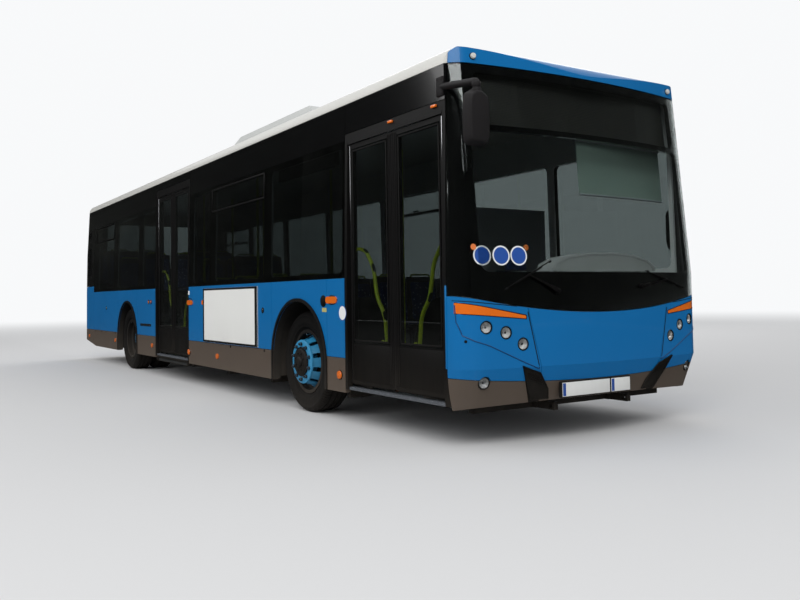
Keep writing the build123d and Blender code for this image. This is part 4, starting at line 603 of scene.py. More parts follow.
def finish_nodes():
    """Gives every CAD node its finish."""
    for name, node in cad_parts.items():
        finish = NODE_FINISHES.get(name)
        if finish is None:
            finish = next(value for start, value in START_FINISHES.items() if name.startswith(start))
        node.data.materials.clear()
        node.data.materials.append(finishes[finish])


finish_nodes()


# Modelling tools


def rest():
    """Object mode, with nothing selected."""
    if bpy.context.object and bpy.context.object.mode != "OBJECT":
        bpy.ops.object.mode_set(mode="OBJECT")
    bpy.ops.object.select_all(action="DESELECT")


def pick(*pieces):
    """Selects only these pieces, the last one active."""
    rest()
    for piece in pieces:
        piece.select_set(True)
    bpy.context.view_layer.objects.active = pieces[-1]


def edit(piece):
    """Edit mode on one piece, with all of it deselected."""
    pick(piece)
    bpy.ops.object.mode_set(mode="EDIT")
    bpy.ops.mesh.select_all(action="DESELECT")


def choose(piece, kind, test):
    """Selects the vertices, edges or faces of the edited piece whose middle passes a test."""
    bpy.ops.mesh.select_mode(type={"verts": "VERT", "edges": "EDGE", "faces": "FACE"}[kind])
    bpy.ops.mesh.select_all(action="DESELECT")
    shape = bmesh.from_edit_mesh(piece.data)
    for element in getattr(shape, kind):
        if kind == "verts":
            wanted = test(element.co, element.normal)
        elif kind == "edges":
            wanted = test((element.verts[0].co + element.verts[1].co) / 2, element)
        else:
            wanted = test(element.calc_center_median(), element.normal)
        element.select_set(bool(wanted))
    shape.select_flush_mode()
    bmesh.update_edit_mesh(piece.data)


def close_up(piece):
    """Merges doubles and turns every face outwards."""
    edit(piece)
    bpy.ops.mesh.select_all(action="SELECT")
    bpy.ops.mesh.remove_doubles(threshold=0.00005)
    bpy.ops.mesh.normals_make_consistent(inside=False)
    rest()


def block(low, high, bevel=0.0, segments=2):
    """A box between two corners, with its edges rounded."""
    rest()
    middle = [(a + b) / 2 for a, b in zip(low, high)]
    bpy.ops.mesh.primitive_cube_add(size=1, location=middle)
    piece = bpy.context.object
    piece.scale = [b - a for a, b in zip(low, high)]
    bpy.ops.object.transform_apply(location=True, rotation=True, scale=True)
    if bevel:
        soften(piece, bevel, segments)
    return piece


def slab(x, y, half_x, half_y, foot, top, bevel=0.0, segments=2):
    """A box about a place, between two heights."""
    return block((x - half_x, y - half_y, foot), (x + half_x, y + half_y, top), bevel, segments)


def soften(piece, width, segments=2, angle=40):
    """Rounds the sharp edges of a piece."""
    pick(piece)
    modifier = piece.modifiers.new("round", "BEVEL")
    modifier.width = width
    modifier.segments = segments
    modifier.limit_method = "ANGLE"
    modifier.angle_limit = math.radians(angle)
    bpy.ops.object.modifier_apply(modifier=modifier.name)


def disc(radius, depth, middle, axis, sides=32, bevel=0.0):
    """A round plate or bar about an axis through its middle."""
    rest()
    turn = Vector((0, 0, 1)).rotation_difference(Vector(axis)).to_euler()
    bpy.ops.mesh.primitive_cylinder_add(
        vertices=sides, radius=radius, depth=depth, location=middle, rotation=turn
    )
    piece = bpy.context.object
    bpy.ops.object.transform_apply(location=True, rotation=True, scale=True)
    if bevel:
        soften(piece, bevel)
    return piece


def traced(points):
    """A line of vertices drawn point by point, left in edit mode."""
    rest()
    bpy.ops.mesh.primitive_plane_add(size=0.01, location=points[0])
    piece = bpy.context.object
    bpy.ops.object.mode_set(mode="EDIT")
    bpy.ops.mesh.select_mode(type="VERT")
    bpy.ops.mesh.select_all(action="SELECT")
    bpy.ops.mesh.merge(type="CENTER")
    here = Vector(points[0])
    for point in points[1:]:
        step = Vector(point) - here
        bpy.ops.mesh.extrude_vertices_move(TRANSFORM_OT_translate={"value": step})
        here = Vector(point)
    return piece


def plate(points, depth):
    """A flat outline, filled and pulled out along a vector."""
    piece = traced(points)
    bpy.ops.mesh.select_all(action="SELECT")
    bpy.ops.mesh.edge_face_add()
    bpy.ops.mesh.extrude_region_move(TRANSFORM_OT_translate={"value": depth})
    bpy.ops.mesh.select_all(action="SELECT")
    bpy.ops.mesh.normals_make_consistent(inside=False)
    bpy.ops.object.mode_set(mode="OBJECT")
    bpy.ops.object.transform_apply(location=True, rotation=True, scale=True)
    return piece


def turned(profile, middle=(0, 0, 0), side=1, steps=40, closed=True):
    """A profile of (radius, distance along X) spun about the X axis through a point."""
    x, y, z = middle
    points = [(x + side * along, y, z + radius) for radius, along in profile]
    if closed:
        points.append(points[0])
    piece = traced(points)
    bpy.ops.mesh.select_all(action="SELECT")
    bpy.ops.mesh.spin(steps=steps, angle=2 * math.pi, center=middle, axis=(1, 0, 0))
    bpy.ops.object.mode_set(mode="OBJECT")
    bpy.ops.object.transform_apply(location=True, rotation=True, scale=True)
    close_up(piece)
    return piece


def tube(points, radius, smooth=True, sides=3, cyclic=False):
    """A round tube along points."""
    rest()
    data = bpy.data.curves.new("tube", "CURVE")
    data.dimensions = "3D"
    data.bevel_depth = radius
    data.bevel_resolution = sides
    data.use_fill_caps = True
    spline = data.splines.new("NURBS" if smooth else "POLY")
    spline.points.add(len(points) - 1)
    for point, place in zip(spline.points, points):
        point.co = (*place, 1.0)
    spline.use_cyclic_u = cyclic
    if smooth:
        spline.order_u = 3
        spline.use_endpoint_u = not cyclic
        spline.resolution_u = 6
    piece = bpy.data.objects.new("tube", data)
    scene.collection.objects.link(piece)
    pick(piece)
    bpy.ops.object.convert(target="MESH")
    return bpy.context.object


def around(count, radius, offset=0.0):
    """Places spread round a circle, each as two distances from its centre."""
    turns = [2 * math.pi * (step + offset) / count for step in range(count)]
    return [(radius * math.cos(turn), radius * math.sin(turn)) for turn in turns]


def facing_turn(facing):
    """The turn that brings the X axis to a direction."""
    return Vector((1, 0, 0)).rotation_difference(Vector(facing)).to_matrix().to_4x4()


def copied(piece, place):
    """A copy of a piece with its own mesh, moved by a matrix."""
    twin = piece.copy()
    twin.data = piece.data.copy()
    twin.data.transform(place)
    scene.collection.objects.link(twin)
    if place.determinant() < 0:
        close_up(twin)
    return twin


def united(pieces):
    """Several pieces as one."""
    pick(*pieces)
    if len(pieces) > 1:
        bpy.ops.object.join()
    return bpy.context.object


def done(pieces, name, finish, body="body", angle=35):
    """Names a finished piece, smooths it, gives it its finish and the body that it moves with."""
    piece = united(pieces if isinstance(pieces, list) else [pieces])
    piece.name = name
    piece.data.name = name
    bpy.ops.object.shade_smooth_by_angle(angle=math.radians(angle))
    piece.data.materials.clear()
    piece.data.materials.append(finishes[finish])
    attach(piece, body)
    rest()
    return piece


# Stage and light

PALE = (0.94, 0.95, 0.96, 1.0)
# Cards of the street: name, two corners, and whether rays through glass see them
CARDS = [
    ("card_kerb", (-17, -26, 0), (-16.8, 110, 16), True),
    ("card_ahead", (-17, -26.2, 0), (60, -26, 24), True),
    ("card_road", (17, -24, 0), (17.2, 60, 12), False),
    ("card_behind", (-16, 27, 0), (16, 27.2, 12), False),
    ("card_floor_kerb", (-16.5, -25, 0.004), (-1.32, 60, 0.008), True),
    ("card_floor_ahead", (-1.3, -25, 0.004), (16.5, -4.5, 0.008), True),
    ("card_floor_road", (3.2, -7.2, 0.004), (16.5, 26, 0.008), False),
]


def make_stage():
    """A pale floor that keeps the shadow and fades to white far away."""
    rest()
    bpy.ops.mesh.primitive_circle_add(vertices=96, radius=160, fill_type="NGON", location=(0, 0, -0.002))
    floor = bpy.context.object
    floor.name = "stage_floor"
    tree, shader, where = begin("stage_paper")
    shader.inputs["Base Color"].default_value = (0.72, 0.72, 0.72, 1.0)
    shader.inputs["Roughness"].default_value = 0.9
    shader.inputs["Specular IOR Level"].default_value = 0.1
    length = tree.nodes.new("ShaderNodeVectorMath")
    length.operation = "LENGTH"
    tree.links.new(where, length.inputs[0])
    fade = tree.nodes.new("ShaderNodeMapRange")
    fade.interpolation_type = "SMOOTHSTEP"
    fade.inputs["From Min"].default_value = 10
    fade.inputs["From Max"].default_value = 42
    tree.links.new(length.outputs["Value"], fade.inputs["Value"])
    glow = tree.nodes.new("ShaderNodeEmission")
    glow.inputs["Color"].default_value = PALE
    factor = maths(tree, "MULTIPLY", fade.outputs[0], seen_straight(tree))
    surface = mixed(tree, factor, shader.outputs[0], glow.outputs[0])
    tree.links.new(surface, tree.nodes["Material Output"].inputs["Surface"])
    floor.data.materials.append(finishes["stage_paper"])


def make_world():
    """Even daylight that looks pale wherever it is seen."""
    world = bpy.data.worlds.new("world")
    world.use_nodes = True
    scene.world = world
    tree = world.node_tree
    back = tree.nodes["Background"]
    back.inputs["Color"].default_value = (0.97, 0.98, 1.0, 1.0)
    back.inputs["Strength"].default_value = 0.62
    pale = tree.nodes.new("ShaderNodeBackground")
    pale.inputs["Color"].default_value = PALE
    surface = mixed(tree, seen_straight(tree), back.outputs[0], pale.outputs[0])
    tree.links.new(surface, tree.nodes["World Output"].inputs["Surface"])


def make_card_finish():
    """The cards' dark cloudy surface."""
    tree, shader, where = begin("card_dark")
    cloud = maths(tree, "MULTIPLY", noise(tree, where, 0.5, 2.0), noise(tree, where, 1.3, 1.0), True)
    shade = blend_colours(tree, cloud, colour_of(5, 6, 6), colour_of(84, 86, 80))
    tree.links.new(shade, shader.inputs["Base Color"])
    shader.inputs["Roughness"].default_value = 1.0


def make_card(name, low, high, behind_glass=False):
    """A dark card that only reflections see, as the trees and houses round a real bus."""
    card = block(low, high, 0.05)
    card.name = name
    card.data.materials.append(finishes["card_dark"])
    card.visible_camera = False
    card.visible_diffuse = False
    card.visible_shadow = False
    card.visible_transmission = behind_glass


def make_lamp(name, place, target, size, power):
    """A large soft lamp that faces a point."""
    data = bpy.data.lights.new(name, "AREA")
    data.shape = "RECTANGLE"
    data.size, data.size_y = size
    data.energy = power
    lamp = bpy.data.objects.new(name, data)
    ahead = Vector(target) - Vector(place)
    turn = ahead.to_track_quat("-Z", "Y").to_matrix().to_4x4()
    lamp.matrix_world = Matrix.Translation(place) @ turn
    scene.collection.objects.link(lamp)


make_stage()
make_world()
make_lamp("key_lamp", (-9, -15, 12), (0, -3, 1), (12, 8), 1300)
make_lamp("side_lamp", (-14, 4, 9), (0, 1, 1), (14, 6), 650)
make_lamp("back_lamp", (12, 10, 10), (0, 1, 1), (12, 8), 650)
make_card_finish()
for row in CARDS:
    make_card(*row)


# Tyres

SHOULDER_RADIUS = 0.4605
CROWN_HALF_WIDTH = 0.06


def make_tyre(x, y):
    """A tyre about the wheel's axle, with ribs, shoulder slots and ringed side walls."""
    pitches = 96
    slot = math.radians(0.5)
    block_turn = 2 * math.pi / pitches - slot
    groove = 0.479 - 0.012
    profile = [
        (0.2865, -0.092), (0.306, -0.1), (0.318, -0.112), (0.33, -0.12), (0.334, -0.125), (0.34, -0.1255),
        (0.36, -0.1325), (0.366, -0.1355), (0.374, -0.1358), (0.4, -0.1375), (0.43, -0.1335),
        (0.434, -0.1355), (0.445, -0.1335), (0.462, -0.122), (0.474, -0.108), (0.479, -0.09),
    ]
    ribs = [
        (0.479, -0.066), (groove, -0.064), (groove, -0.054), (0.479, -0.052), (0.479, -0.008),
        (groove, -0.006),
    ]
    half = profile + ribs
    full = half + [(radius, -along) for radius, along in reversed(half)]
    centre = Vector((x, y, HUB_Z))
    piece = traced([(x + along, y, HUB_Z + radius) for radius, along in full])
    bpy.ops.mesh.select_all(action="SELECT")

    def sink(factor):
        """Moves the outer ribs of the last profile in or out."""
        shape = bmesh.from_edit_mesh(piece.data)
        local = centre - piece.location
        for vertex in shape.verts:
            if not vertex.select:
                continue
            arm = Vector((0, vertex.co.y - local.y, vertex.co.z - local.z))
            across = abs(vertex.co.x - local.x)
            if arm.length > SHOULDER_RADIUS and across > CROWN_HALF_WIDTH:
                vertex.co += arm.normalized() * factor
        bmesh.update_edit_mesh(piece.data)

    turn = {"center": centre, "axis": (1, 0, 0)}
    bpy.ops.mesh.spin(steps=1, angle=block_turn, **turn)
    bpy.ops.mesh.extrude_region_move(TRANSFORM_OT_translate={"value": (0, 0, 0)})
    sink(-0.008)
    bpy.ops.mesh.spin(steps=1, angle=slot, **turn)
    bpy.ops.mesh.extrude_region_move(TRANSFORM_OT_translate={"value": (0, 0, 0)})
    sink(0.008)
    bpy.ops.mesh.select_all(action="SELECT")
    bpy.ops.mesh.spin(steps=pitches, angle=2 * math.pi, dupli=True, **turn)
    bpy.ops.object.mode_set(mode="OBJECT")
    bpy.ops.object.transform_apply(location=True, rotation=True, scale=True)
    close_up(piece)
    return piece


def make_tyres():
    """One tyre, copied to all six places."""
    first = make_tyre(0, 0)
    for side, name in ((-1, "right"), (1, "left")):
        single = copied(first, Matrix.Translation((side * FRONT_WHEEL_X, FRONT_AXLE_Y, 0)))
        single = done(
            single, f"tyre_front_{name}_dressed", "tyre_rubber", f"wheel_front_{name}"
        )
        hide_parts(f"tyre_front_{name}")
        pair = []
        for x in (REAR_WHEEL_X + TWIN_SPACING / 2, REAR_WHEEL_X - TWIN_SPACING / 2):
            pair.append(copied(first, Matrix.Translation((side * x, REAR_AXLE_Y, 0))))
        pair = done(pair, f"tyres_rear_{name}_dressed", "tyre_rubber", f"wheels_rear_{name}")
        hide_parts(f"tyres_rear_{name}")
    bpy.data.objects.remove(first)


make_tyres()

# Small helpers for dressing


def rounded(points, bend, steps=5):
    """A broken line's points with each corner cut by a curve."""
    places = [Vector(point) for point in points]
    line = [places[0]]
    for before, corner, after in zip(places, places[1:], places[2:]):
        reach = min(bend, 0.45 * (corner - before).length, 0.45 * (after - corner).length)
        start = corner + (before - corner).normalized() * reach
        end = corner + (after - corner).normalized() * reach
        for step in range(steps + 1):
            share = step / steps
            line.append((1 - share) ** 2 * start + 2 * share * (1 - share) * corner + share**2 * end)
    return line + [places[-1]]


def beam(start, end, width, height, bevel=0.002, taper=1.0):
    """A bar between two points, wide across and high upwards, that may narrow towards its end."""
    start, end = Vector(start), Vector(end)
    length = (end - start).length
    rest()
    bpy.ops.mesh.primitive_cube_add(size=1, location=(0, 0, 0))
    piece = bpy.context.object
    piece.scale = (length, width, height)
    bpy.ops.object.transform_apply(location=False, rotation=False, scale=True)
    if taper != 1.0:
        edit(piece)
        choose(piece, "faces", lambda middle, normal: normal.x > 0.9)
        bpy.ops.transform.resize(value=(1, taper, taper), center_override=(length / 2, 0, 0))
        rest()
    if bevel:
        soften(piece, bevel)
    turn = (end - start).to_track_quat("X", "Z").to_matrix().to_4x4()
    piece.data.transform(Matrix.Translation((start + end) / 2) @ turn)
    return piece


def side_x(side, z, lift=0.0):
    """The x of a side wall's outer surface at a height."""
    return side * (side_half(z) + lift)


def front_place(x, z, lift=0.0):
    """A matrix that stands a piece made round the X axis on the front's surface, facing ahead."""
    bend = x / FRONT_RADIUS
    if abs(x) > 1.05:
        bend += math.copysign((abs(x) - 1.05) * 2.0, x)
    facing = Vector((bend, -1.0, -0.12 if z < TUCK_TOP_Z else 0.0)).normalized()
    y = face_y(x, z) + max(0.0, abs(x) - 1.06) * 0.16
    return Matrix.Translation(Vector((x, y, z)) + lift * facing) @ facing_turn(facing)


# Front lamps

FRONT_LAMPS = [(1.092, 0.862), (0.936, 0.821), (0.795, 0.736), (1.09, 0.473)]


def make_front_lamps():
    """Round lamps: a black bezel, a mirror bowl, a bulb and a clear lens, copied to eight places."""
    bezel = turned(
        [(0.0455, -0.045), (0.0455, 0.0), (0.044, 0.002), (0.0415, 0.0015), (0.0395, -0.004), (0.039, -0.045)]
    )
    ring = turned([(0.0392, -0.006), (0.0392, -0.0035), (0.037, -0.0035), (0.0365, -0.007)])
    bowl_profile = [(0.0388, -0.009), (0.035, -0.022), (0.028, -0.033), (0.018, -0.040), (0.009, -0.042)]
    bowl = turned(bowl_profile + [(0.009, -0.044), (0.02, -0.043), (0.036, -0.03), (0.0389, -0.02)])
    bulb = turned(
        [(0.0, -0.012), (0.006, -0.0125), (0.0095, -0.016), (0.0095, -0.03), (0.007, -0.042), (0.0, -0.042)],
        steps=24,
        closed=False,
    )
    lens_profile = [(0.0, 0.001), (0.02, 0.0), (0.034, -0.003), (0.039, -0.0055), (0.039, -0.0075)]
    lens = turned(lens_profile + [(0.034, -0.005), (0.02, -0.002), (0.0, -0.001)], closed=False)
    groups = {"bezels": [], "rings": [], "bowls": [], "bulbs": [], "lenses": []}
    for x, z in FRONT_LAMPS:
        for side in (-1, 1):
            place = front_place(side * x, z, 0.0005)
            for key, piece in zip(groups, (bezel, ring, bowl, bulb, lens)):
                groups[key].append(copied(piece, place))
    for piece in (bezel, ring, bowl, bulb, lens):
        bpy.data.objects.remove(piece)
    made = done(groups["bezels"], "lamp_bezels", "moulded_black")
    done(groups["rings"], "lamp_rings", "bright_metal")
    done(groups["bowls"], "lamp_bowls", "lamp_bowl", angle=50)
    done(groups["bulbs"], "lamp_bulbs", "lamp_glass")
    done(groups["lenses"], "lamp_lenses", "lamp_glass", angle=50)
    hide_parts("headlamps")


make_front_lamps()


# Windscreen furniture


def make_discs():
    """Three blank round stickers low in the windscreen's corner, with small tabs beside them."""
    whites, blues, tabs = [], [], []
    for x, tab_side in ((-1.105, -1), (-0.957, 0), (-0.81, 1)):
        facing = (x / FRONT_RADIUS, -1, 0.09)
        y = face_y(x, 1.366) - 0.001 + max(0.0, -x - 1.06) * 0.16
        whites.append(disc(0.071, 0.0008, (x, y, 1.366), facing, 40))
        blues.append(disc(0.060, 0.0012, (x, y - 0.0004, 1.366), facing, 40))
        if tab_side:
            y = face_y(x, 1.43) + 0.0008
            tabs.append(disc(0.022, 0.001, (x + tab_side * 0.075, y, 1.425), facing, 24))
    done(whites, "disc_rims", "disc_white")
    done(blues, "disc_fields", "disc_blue")
    done(tabs, "disc_tabs", "tab_orange")


# Pivot x and z, then both ends of the blade
WIPERS = [(-0.491, 1.112, -0.534, 1.332, -0.95, 1.122), (0.418, 1.14, 0.475, 1.262, 1.0, 1.122)]


def make_wipers():
    """Two wipers: a tapered arm on a capped pivot and a blade with its rubber."""
    metal, rubber = [], []
    for pivot_x, pivot_z, near_x, near_z, far_x, far_z in WIPERS:
        near = Vector((near_x, face_y(near_x, near_z) - 0.016, near_z))
        far = Vector((far_x, face_y(far_x, far_z) - 0.016, far_z))
        middle = (near + far) / 2 + Vector((0, -0.012, 0))
        pivot = Vector((pivot_x, face_y(pivot_x, pivot_z) - 0.022, pivot_z))
        knee = pivot + (middle - pivot) * 0.28 + Vector((0, -0.004, 0))
        metal.append(disc(0.021, 0.03, pivot + Vector((0, 0.008, 0)), (0, -1, 0.1), 28, 0.003))
        metal.append(disc(0.012, 0.012, pivot + Vector((0, -0.012, 0)), (0, -1, 0.1), 6, 0.001))
        metal.append(beam(pivot, knee, 0.02, 0.026, 0.003))
        metal.append(beam(knee, middle, 0.013, 0.016, 0.002, 0.6))
        metal.append(tube([pivot + (middle - pivot) * 0.2, knee + (middle - knee) * 0.25], 0.005, False))
        blade = far - near
        metal.append(beam(near + blade * 0.22, far - blade * 0.22, 0.011, 0.012, 0.002))
        for share in (0.04, 0.28, 0.72, 0.96):
            spot = near + blade * share
            metal.append(beam(spot - blade * 0.02, spot + blade * 0.02, 0.012, 0.014, 0.002))
        metal.append(beam(middle + Vector((0, 0.004, 0)), middle + Vector((0, 0.014, 0)), 0.02, 0.02, 0.003))
        drop = Vector((0, 0.009, 0))
        rubber.append(beam(near + drop, far + drop, 0.008, 0.007, 0.001))
        rubber.append(beam(near + drop * 1.6, far + drop * 1.6, 0.003, 0.003, 0))
    metal = done(metal, "wiper_arms", "frame_black")
    done(rubber, "wiper_rubbers", "seal_rubber")
    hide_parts("wipers")


def make_blind_and_cowl():
    """The driver's roller blind, the instrument cowl and the dials."""
    points = []
    for step in range(9):
        x = 0.0 + step * 0.135
        points.append((x, face_y(x, 2.1) + 0.17, 1.88))
    points += [(x, y - 0.004, z) for x, y, z in reversed(points)]
    blind = plate(points, (0, 0.03, 0.42))
    done(blind, "blind_cloth", "roller_blind")
    roller = tube([(x, y + 0.035, 2.325) for x, y, z in points[:9]], 0.028)
    bar = tube([(x, y - 0.002, 1.872) for x, y, z in points[:9]], 0.009)
    done([roller, bar], "blind_roller", "interior_grey")

    outline = [(-0.22, 1.268), (-0.19, 1.33), (-0.05, 1.385), (0.2, 1.415), (0.45, 1.424), (0.7, 1.408)]
    outline += [(0.9, 1.36), (0.965, 1.31), (0.975, 1.268)]
    inner = [(x * 0.94 + 0.022, 1.268 + (z - 1.268) * 0.86) for x, z in reversed(outline)]
    ring = [(x, -5.52, z) for x, z in outline + inner]
    hood = plate(ring, (0, 0.2, 0.0))
    soften(hood, 0.006)
    back = plate([(x, -5.515, z) for x, z in outline], (0, 0.02, 0))
    done([hood, back], "instrument_cowl", "dash_grey")
    dials, rings = [], []
    facing = (0, 1, 0.2)
    for x, radius in ((0.42, 0.062), (0.6, 0.062), (0.29, 0.034), (0.73, 0.034), (0.29, 0.034)):
        place = (x, -5.49, 1.335)
        dials.append(disc(radius, 0.008, place, facing, 32, 0.001))
        rim = [(radius, 0.0), (radius + 0.004, 0.0), (radius + 0.004, 0.008), (radius, 0.006)]
        ring = turned(rim, steps=32)
        ring.data.transform(Matrix.Translation(place) @ facing_turn(facing))
        rings.append(ring)
    done(dials, "instrument_dials", "smoked_lens")
    done(rings, "instrument_rings", "bright_metal")


make_discs()
make_wipers()
make_blind_and_cowl()


# Plates, advert frame and small fittings

# Both ends across the bus, the face, foot and top of each plate
PLATES = [
    (-0.428, 0.068, -5.806, 0.334, 0.436),
    (0.084, 0.292, -5.806, 0.334, 0.436),
    (-0.26, 0.26, 6.098, 0.395, 0.505),
]


def make_plates():
    """Two blank plates on the bumper and one at the rear, each in a shallow holder."""
    holders, faces, bands = [], [], []
    for low, high, y, foot, top in PLATES:
        out = -1 if y < 0 else 1
        back = (y, y - out * 0.03)
        holders.append(
            block((low - 0.008, min(back), foot - 0.008), (high + 0.008, max(back), top + 0.008), 0.004)
        )
        front = (y + out * 0.0004, y + out * 0.0025)
        faces.append(block((low, min(front), foot), (high, max(front), top), 0.0008))
        if y < 0:
            edge = (y + out * 0.0028, y + out * 0.0031)
            near, far = (low + 0.004, min(edge), foot + 0.004), (low + 0.034, max(edge), top - 0.004)
            bands.append(block(near, far, 0.0001, 1))
        for x in (low + 0.07, high - 0.07):
            faces.append(
                disc(0.005, 0.004, (x, y + out * 0.003, (foot + top) / 2 + 0.03), (0, 1, 0), 10, 0.001)
            )
    done(holders, "plate_holders", "moulded_black")
    done(faces, "plate_faces", "plate_white")
    done(bands, "plate_bands", "plate_blue")


def make_advert_frame():
    """The black frame round the blank board, with its clips."""
    front, rear, foot, top = -2.187, -0.521, 0.574, 1.219
    out, bars = -1.2885, []
    for low, high in (
        ((front, foot), (rear, foot + 0.024)),
        ((front, top - 0.024), (rear, top)),
        ((front, foot), (front + 0.06, top)),
        ((rear - 0.04, foot), (rear, top)),
    ):
        bars.append(block((out, low[0], low[1]), (-1.276, high[0], high[1]), 0.003))
    for y in (-1.9, -1.35, -0.8):
        for z in (foot + 0.012, top - 0.012):
            bars.append(block((out - 0.002, y - 0.03, z - 0.008), (out + 0.004, y + 0.03, z + 0.008), 0.001))
    done(bars, "advert_frame", "frame_black")


def make_side_fittings():
    """Handles, locks, buttons and small lamps along both sides."""
    black, metal, amber, white, blue = [], [], [], [], []
    for side in (-1, 1):
        x = side * WALL_FACE_X
        if side < 0:
            black.append(block((x - 0.004, 1.753, 0.703), (x + 0.01, 2.317, 0.739), 0.004))
            metal.append(block((x - 0.006, 1.78, 0.713), (x - 0.002, 2.29, 0.723), 0.001))
            black.append(disc(0.052, 0.014, (x, -3.679, 1.057), (1, 0, 0), 32, 0.003))
            black.append(disc(0.036, 0.018, (x - 0.002, -3.679, 1.057), (1, 0, 0), 32, 0.004))
            blue.append(disc(0.066, 0.0016, (x, -4.029, 0.952), (1, 0, 0), 40))
            white.append(disc(0.060, 0.0022, (x, -4.029, 0.952), (1, 0, 0), 40))
            for y in (1.745, 1.862):
                black.append(disc(0.033, 0.012, (x, y, 1.062), (1, 0, 0), 28, 0.003))
                amber.append(disc(0.021, 0.014, (x - 0.002, y, 1.062), (1, 0, 0), 24, 0.003))
            black.append(block((x - 0.004, 0.006, 0.366), (x + 0.01, 0.29, 0.372), 0.001))
            white.append(block((x - 0.001, 0.02, 1.15), (x + 0.001, 0.07, 1.2), 0.0004, 1))
            note = block((x - 0.001, -3.735, 0.958), (x + 0.001, -3.65, 0.996), 0.0004, 1)
            done(note, "side_note", "note_cream")
        for y in (4.471, -2.32):
            black.append(disc(0.03, 0.008, (x, y, 0.965), (1, 0, 0), 28, 0.002))
            metal.append(disc(0.018, 0.012, (x, y, 0.965), (1, 0, 0), 24, 0.002))
            slot_x = x + side * 0.004
            metal.append(slab(slot_x, y, 0.002, 0.003, 0.953, 0.977, 0.0005))
        for front, rear in ((-2.45, -1.3), (3.75, 4.6), (4.72, 5.38)):
            for y in (front + 0.1, rear - 0.1):
                black.append(disc(0.014, 0.006, (x, y, 0.548), (1, 0, 0), 16, 0.001))
        for y in (FRONT_AXLE_Y - 0.835, 0.034 if side < 0 else 0.2):
            black.append(disc(0.042, 0.01, (x, y, 0.417), (1, 0, 0), 32, 0.002))
            amber.append(disc(0.036, 0.026, (x + side * 0.006, y, 0.417), (1, 0, 0), 32, 0.009))
        for y in (FRONT_AXLE_Y - 0.695, 0.0):
            ring = [(x, y - 0.105, 1.063), (x, y - 0.05, 1.1), (x, y + 0.03, 1.104), (x, y + 0.105, 1.066)]
            ring += [(x, y + 0.03, 1.026), (x, y - 0.05, 1.03)]
            black.append(tube(rounded([*ring, ring[0], ring[1]], 0.03), 0.005, False, 2))
    for y in (-4.815, -5.409):
        amber.append(block((-1.268, y - 0.03, 2.462), (-1.249, y + 0.03, 2.482), 0.004))
    done(black, "side_bezels", "moulded_black")
    done(metal, "side_latches", "bright_metal")
    done(amber, "side_ambers", "amber_lens")
    done(white, "side_labels", "disc_white")
    done(blue, "side_disc_rim", "disc_blue")


def make_hopper_frames():
    """Slim frames and latches of the two tilting top lights on each side."""
    bars, latches = [], []
    foot, top = 2.14, 2.4
    for side in (-1, 1):
        foot_x, top_x = side_x(side, foot, 0.003), side_x(side, top, 0.003)
        for low, high in ((3.967, 5.27), (-2.343, -0.792)):
            for z in (foot + 0.004, top):
                x = side_x(side, z, 0.003)
                bars.append(beam((x, low, z), (x, high, z), 0.008, 0.016, 0.002))
            for y in (low, high):
                bars.append(beam((foot_x, y, foot), (top_x, y, top), 0.016, 0.008, 0.002))
            y = (low + high) / 2
            x = side * 1.195
            latches.append(slab(x, y, 0.012, 0.05, foot + 0.03, foot + 0.05, 0.004))
    done(bars, "hopper_frames", "frame_black")
    done(latches, "hopper_latches", "moulded_black")


make_plates()
make_advert_frame()
make_side_fittings()
make_hopper_frames()


# Door leaves

LEAF_ROUTE = [(0.012, 1.503), (0.13, 1.48), (0.25, 1.33), (0.3, 1.08), (0.42, 0.93), (0.45, 0.69)]
# Leaf name, trailing edge, hand along +Y, top
LEAVES = [
    ("front_front", -5.487, 1, 2.4),
    ("front_rear", -4.123, -1, 2.4),
    ("middle_front", 0.113, 1, 2.56),
    ("middle_rear", 1.477, -1, 2.56),
]


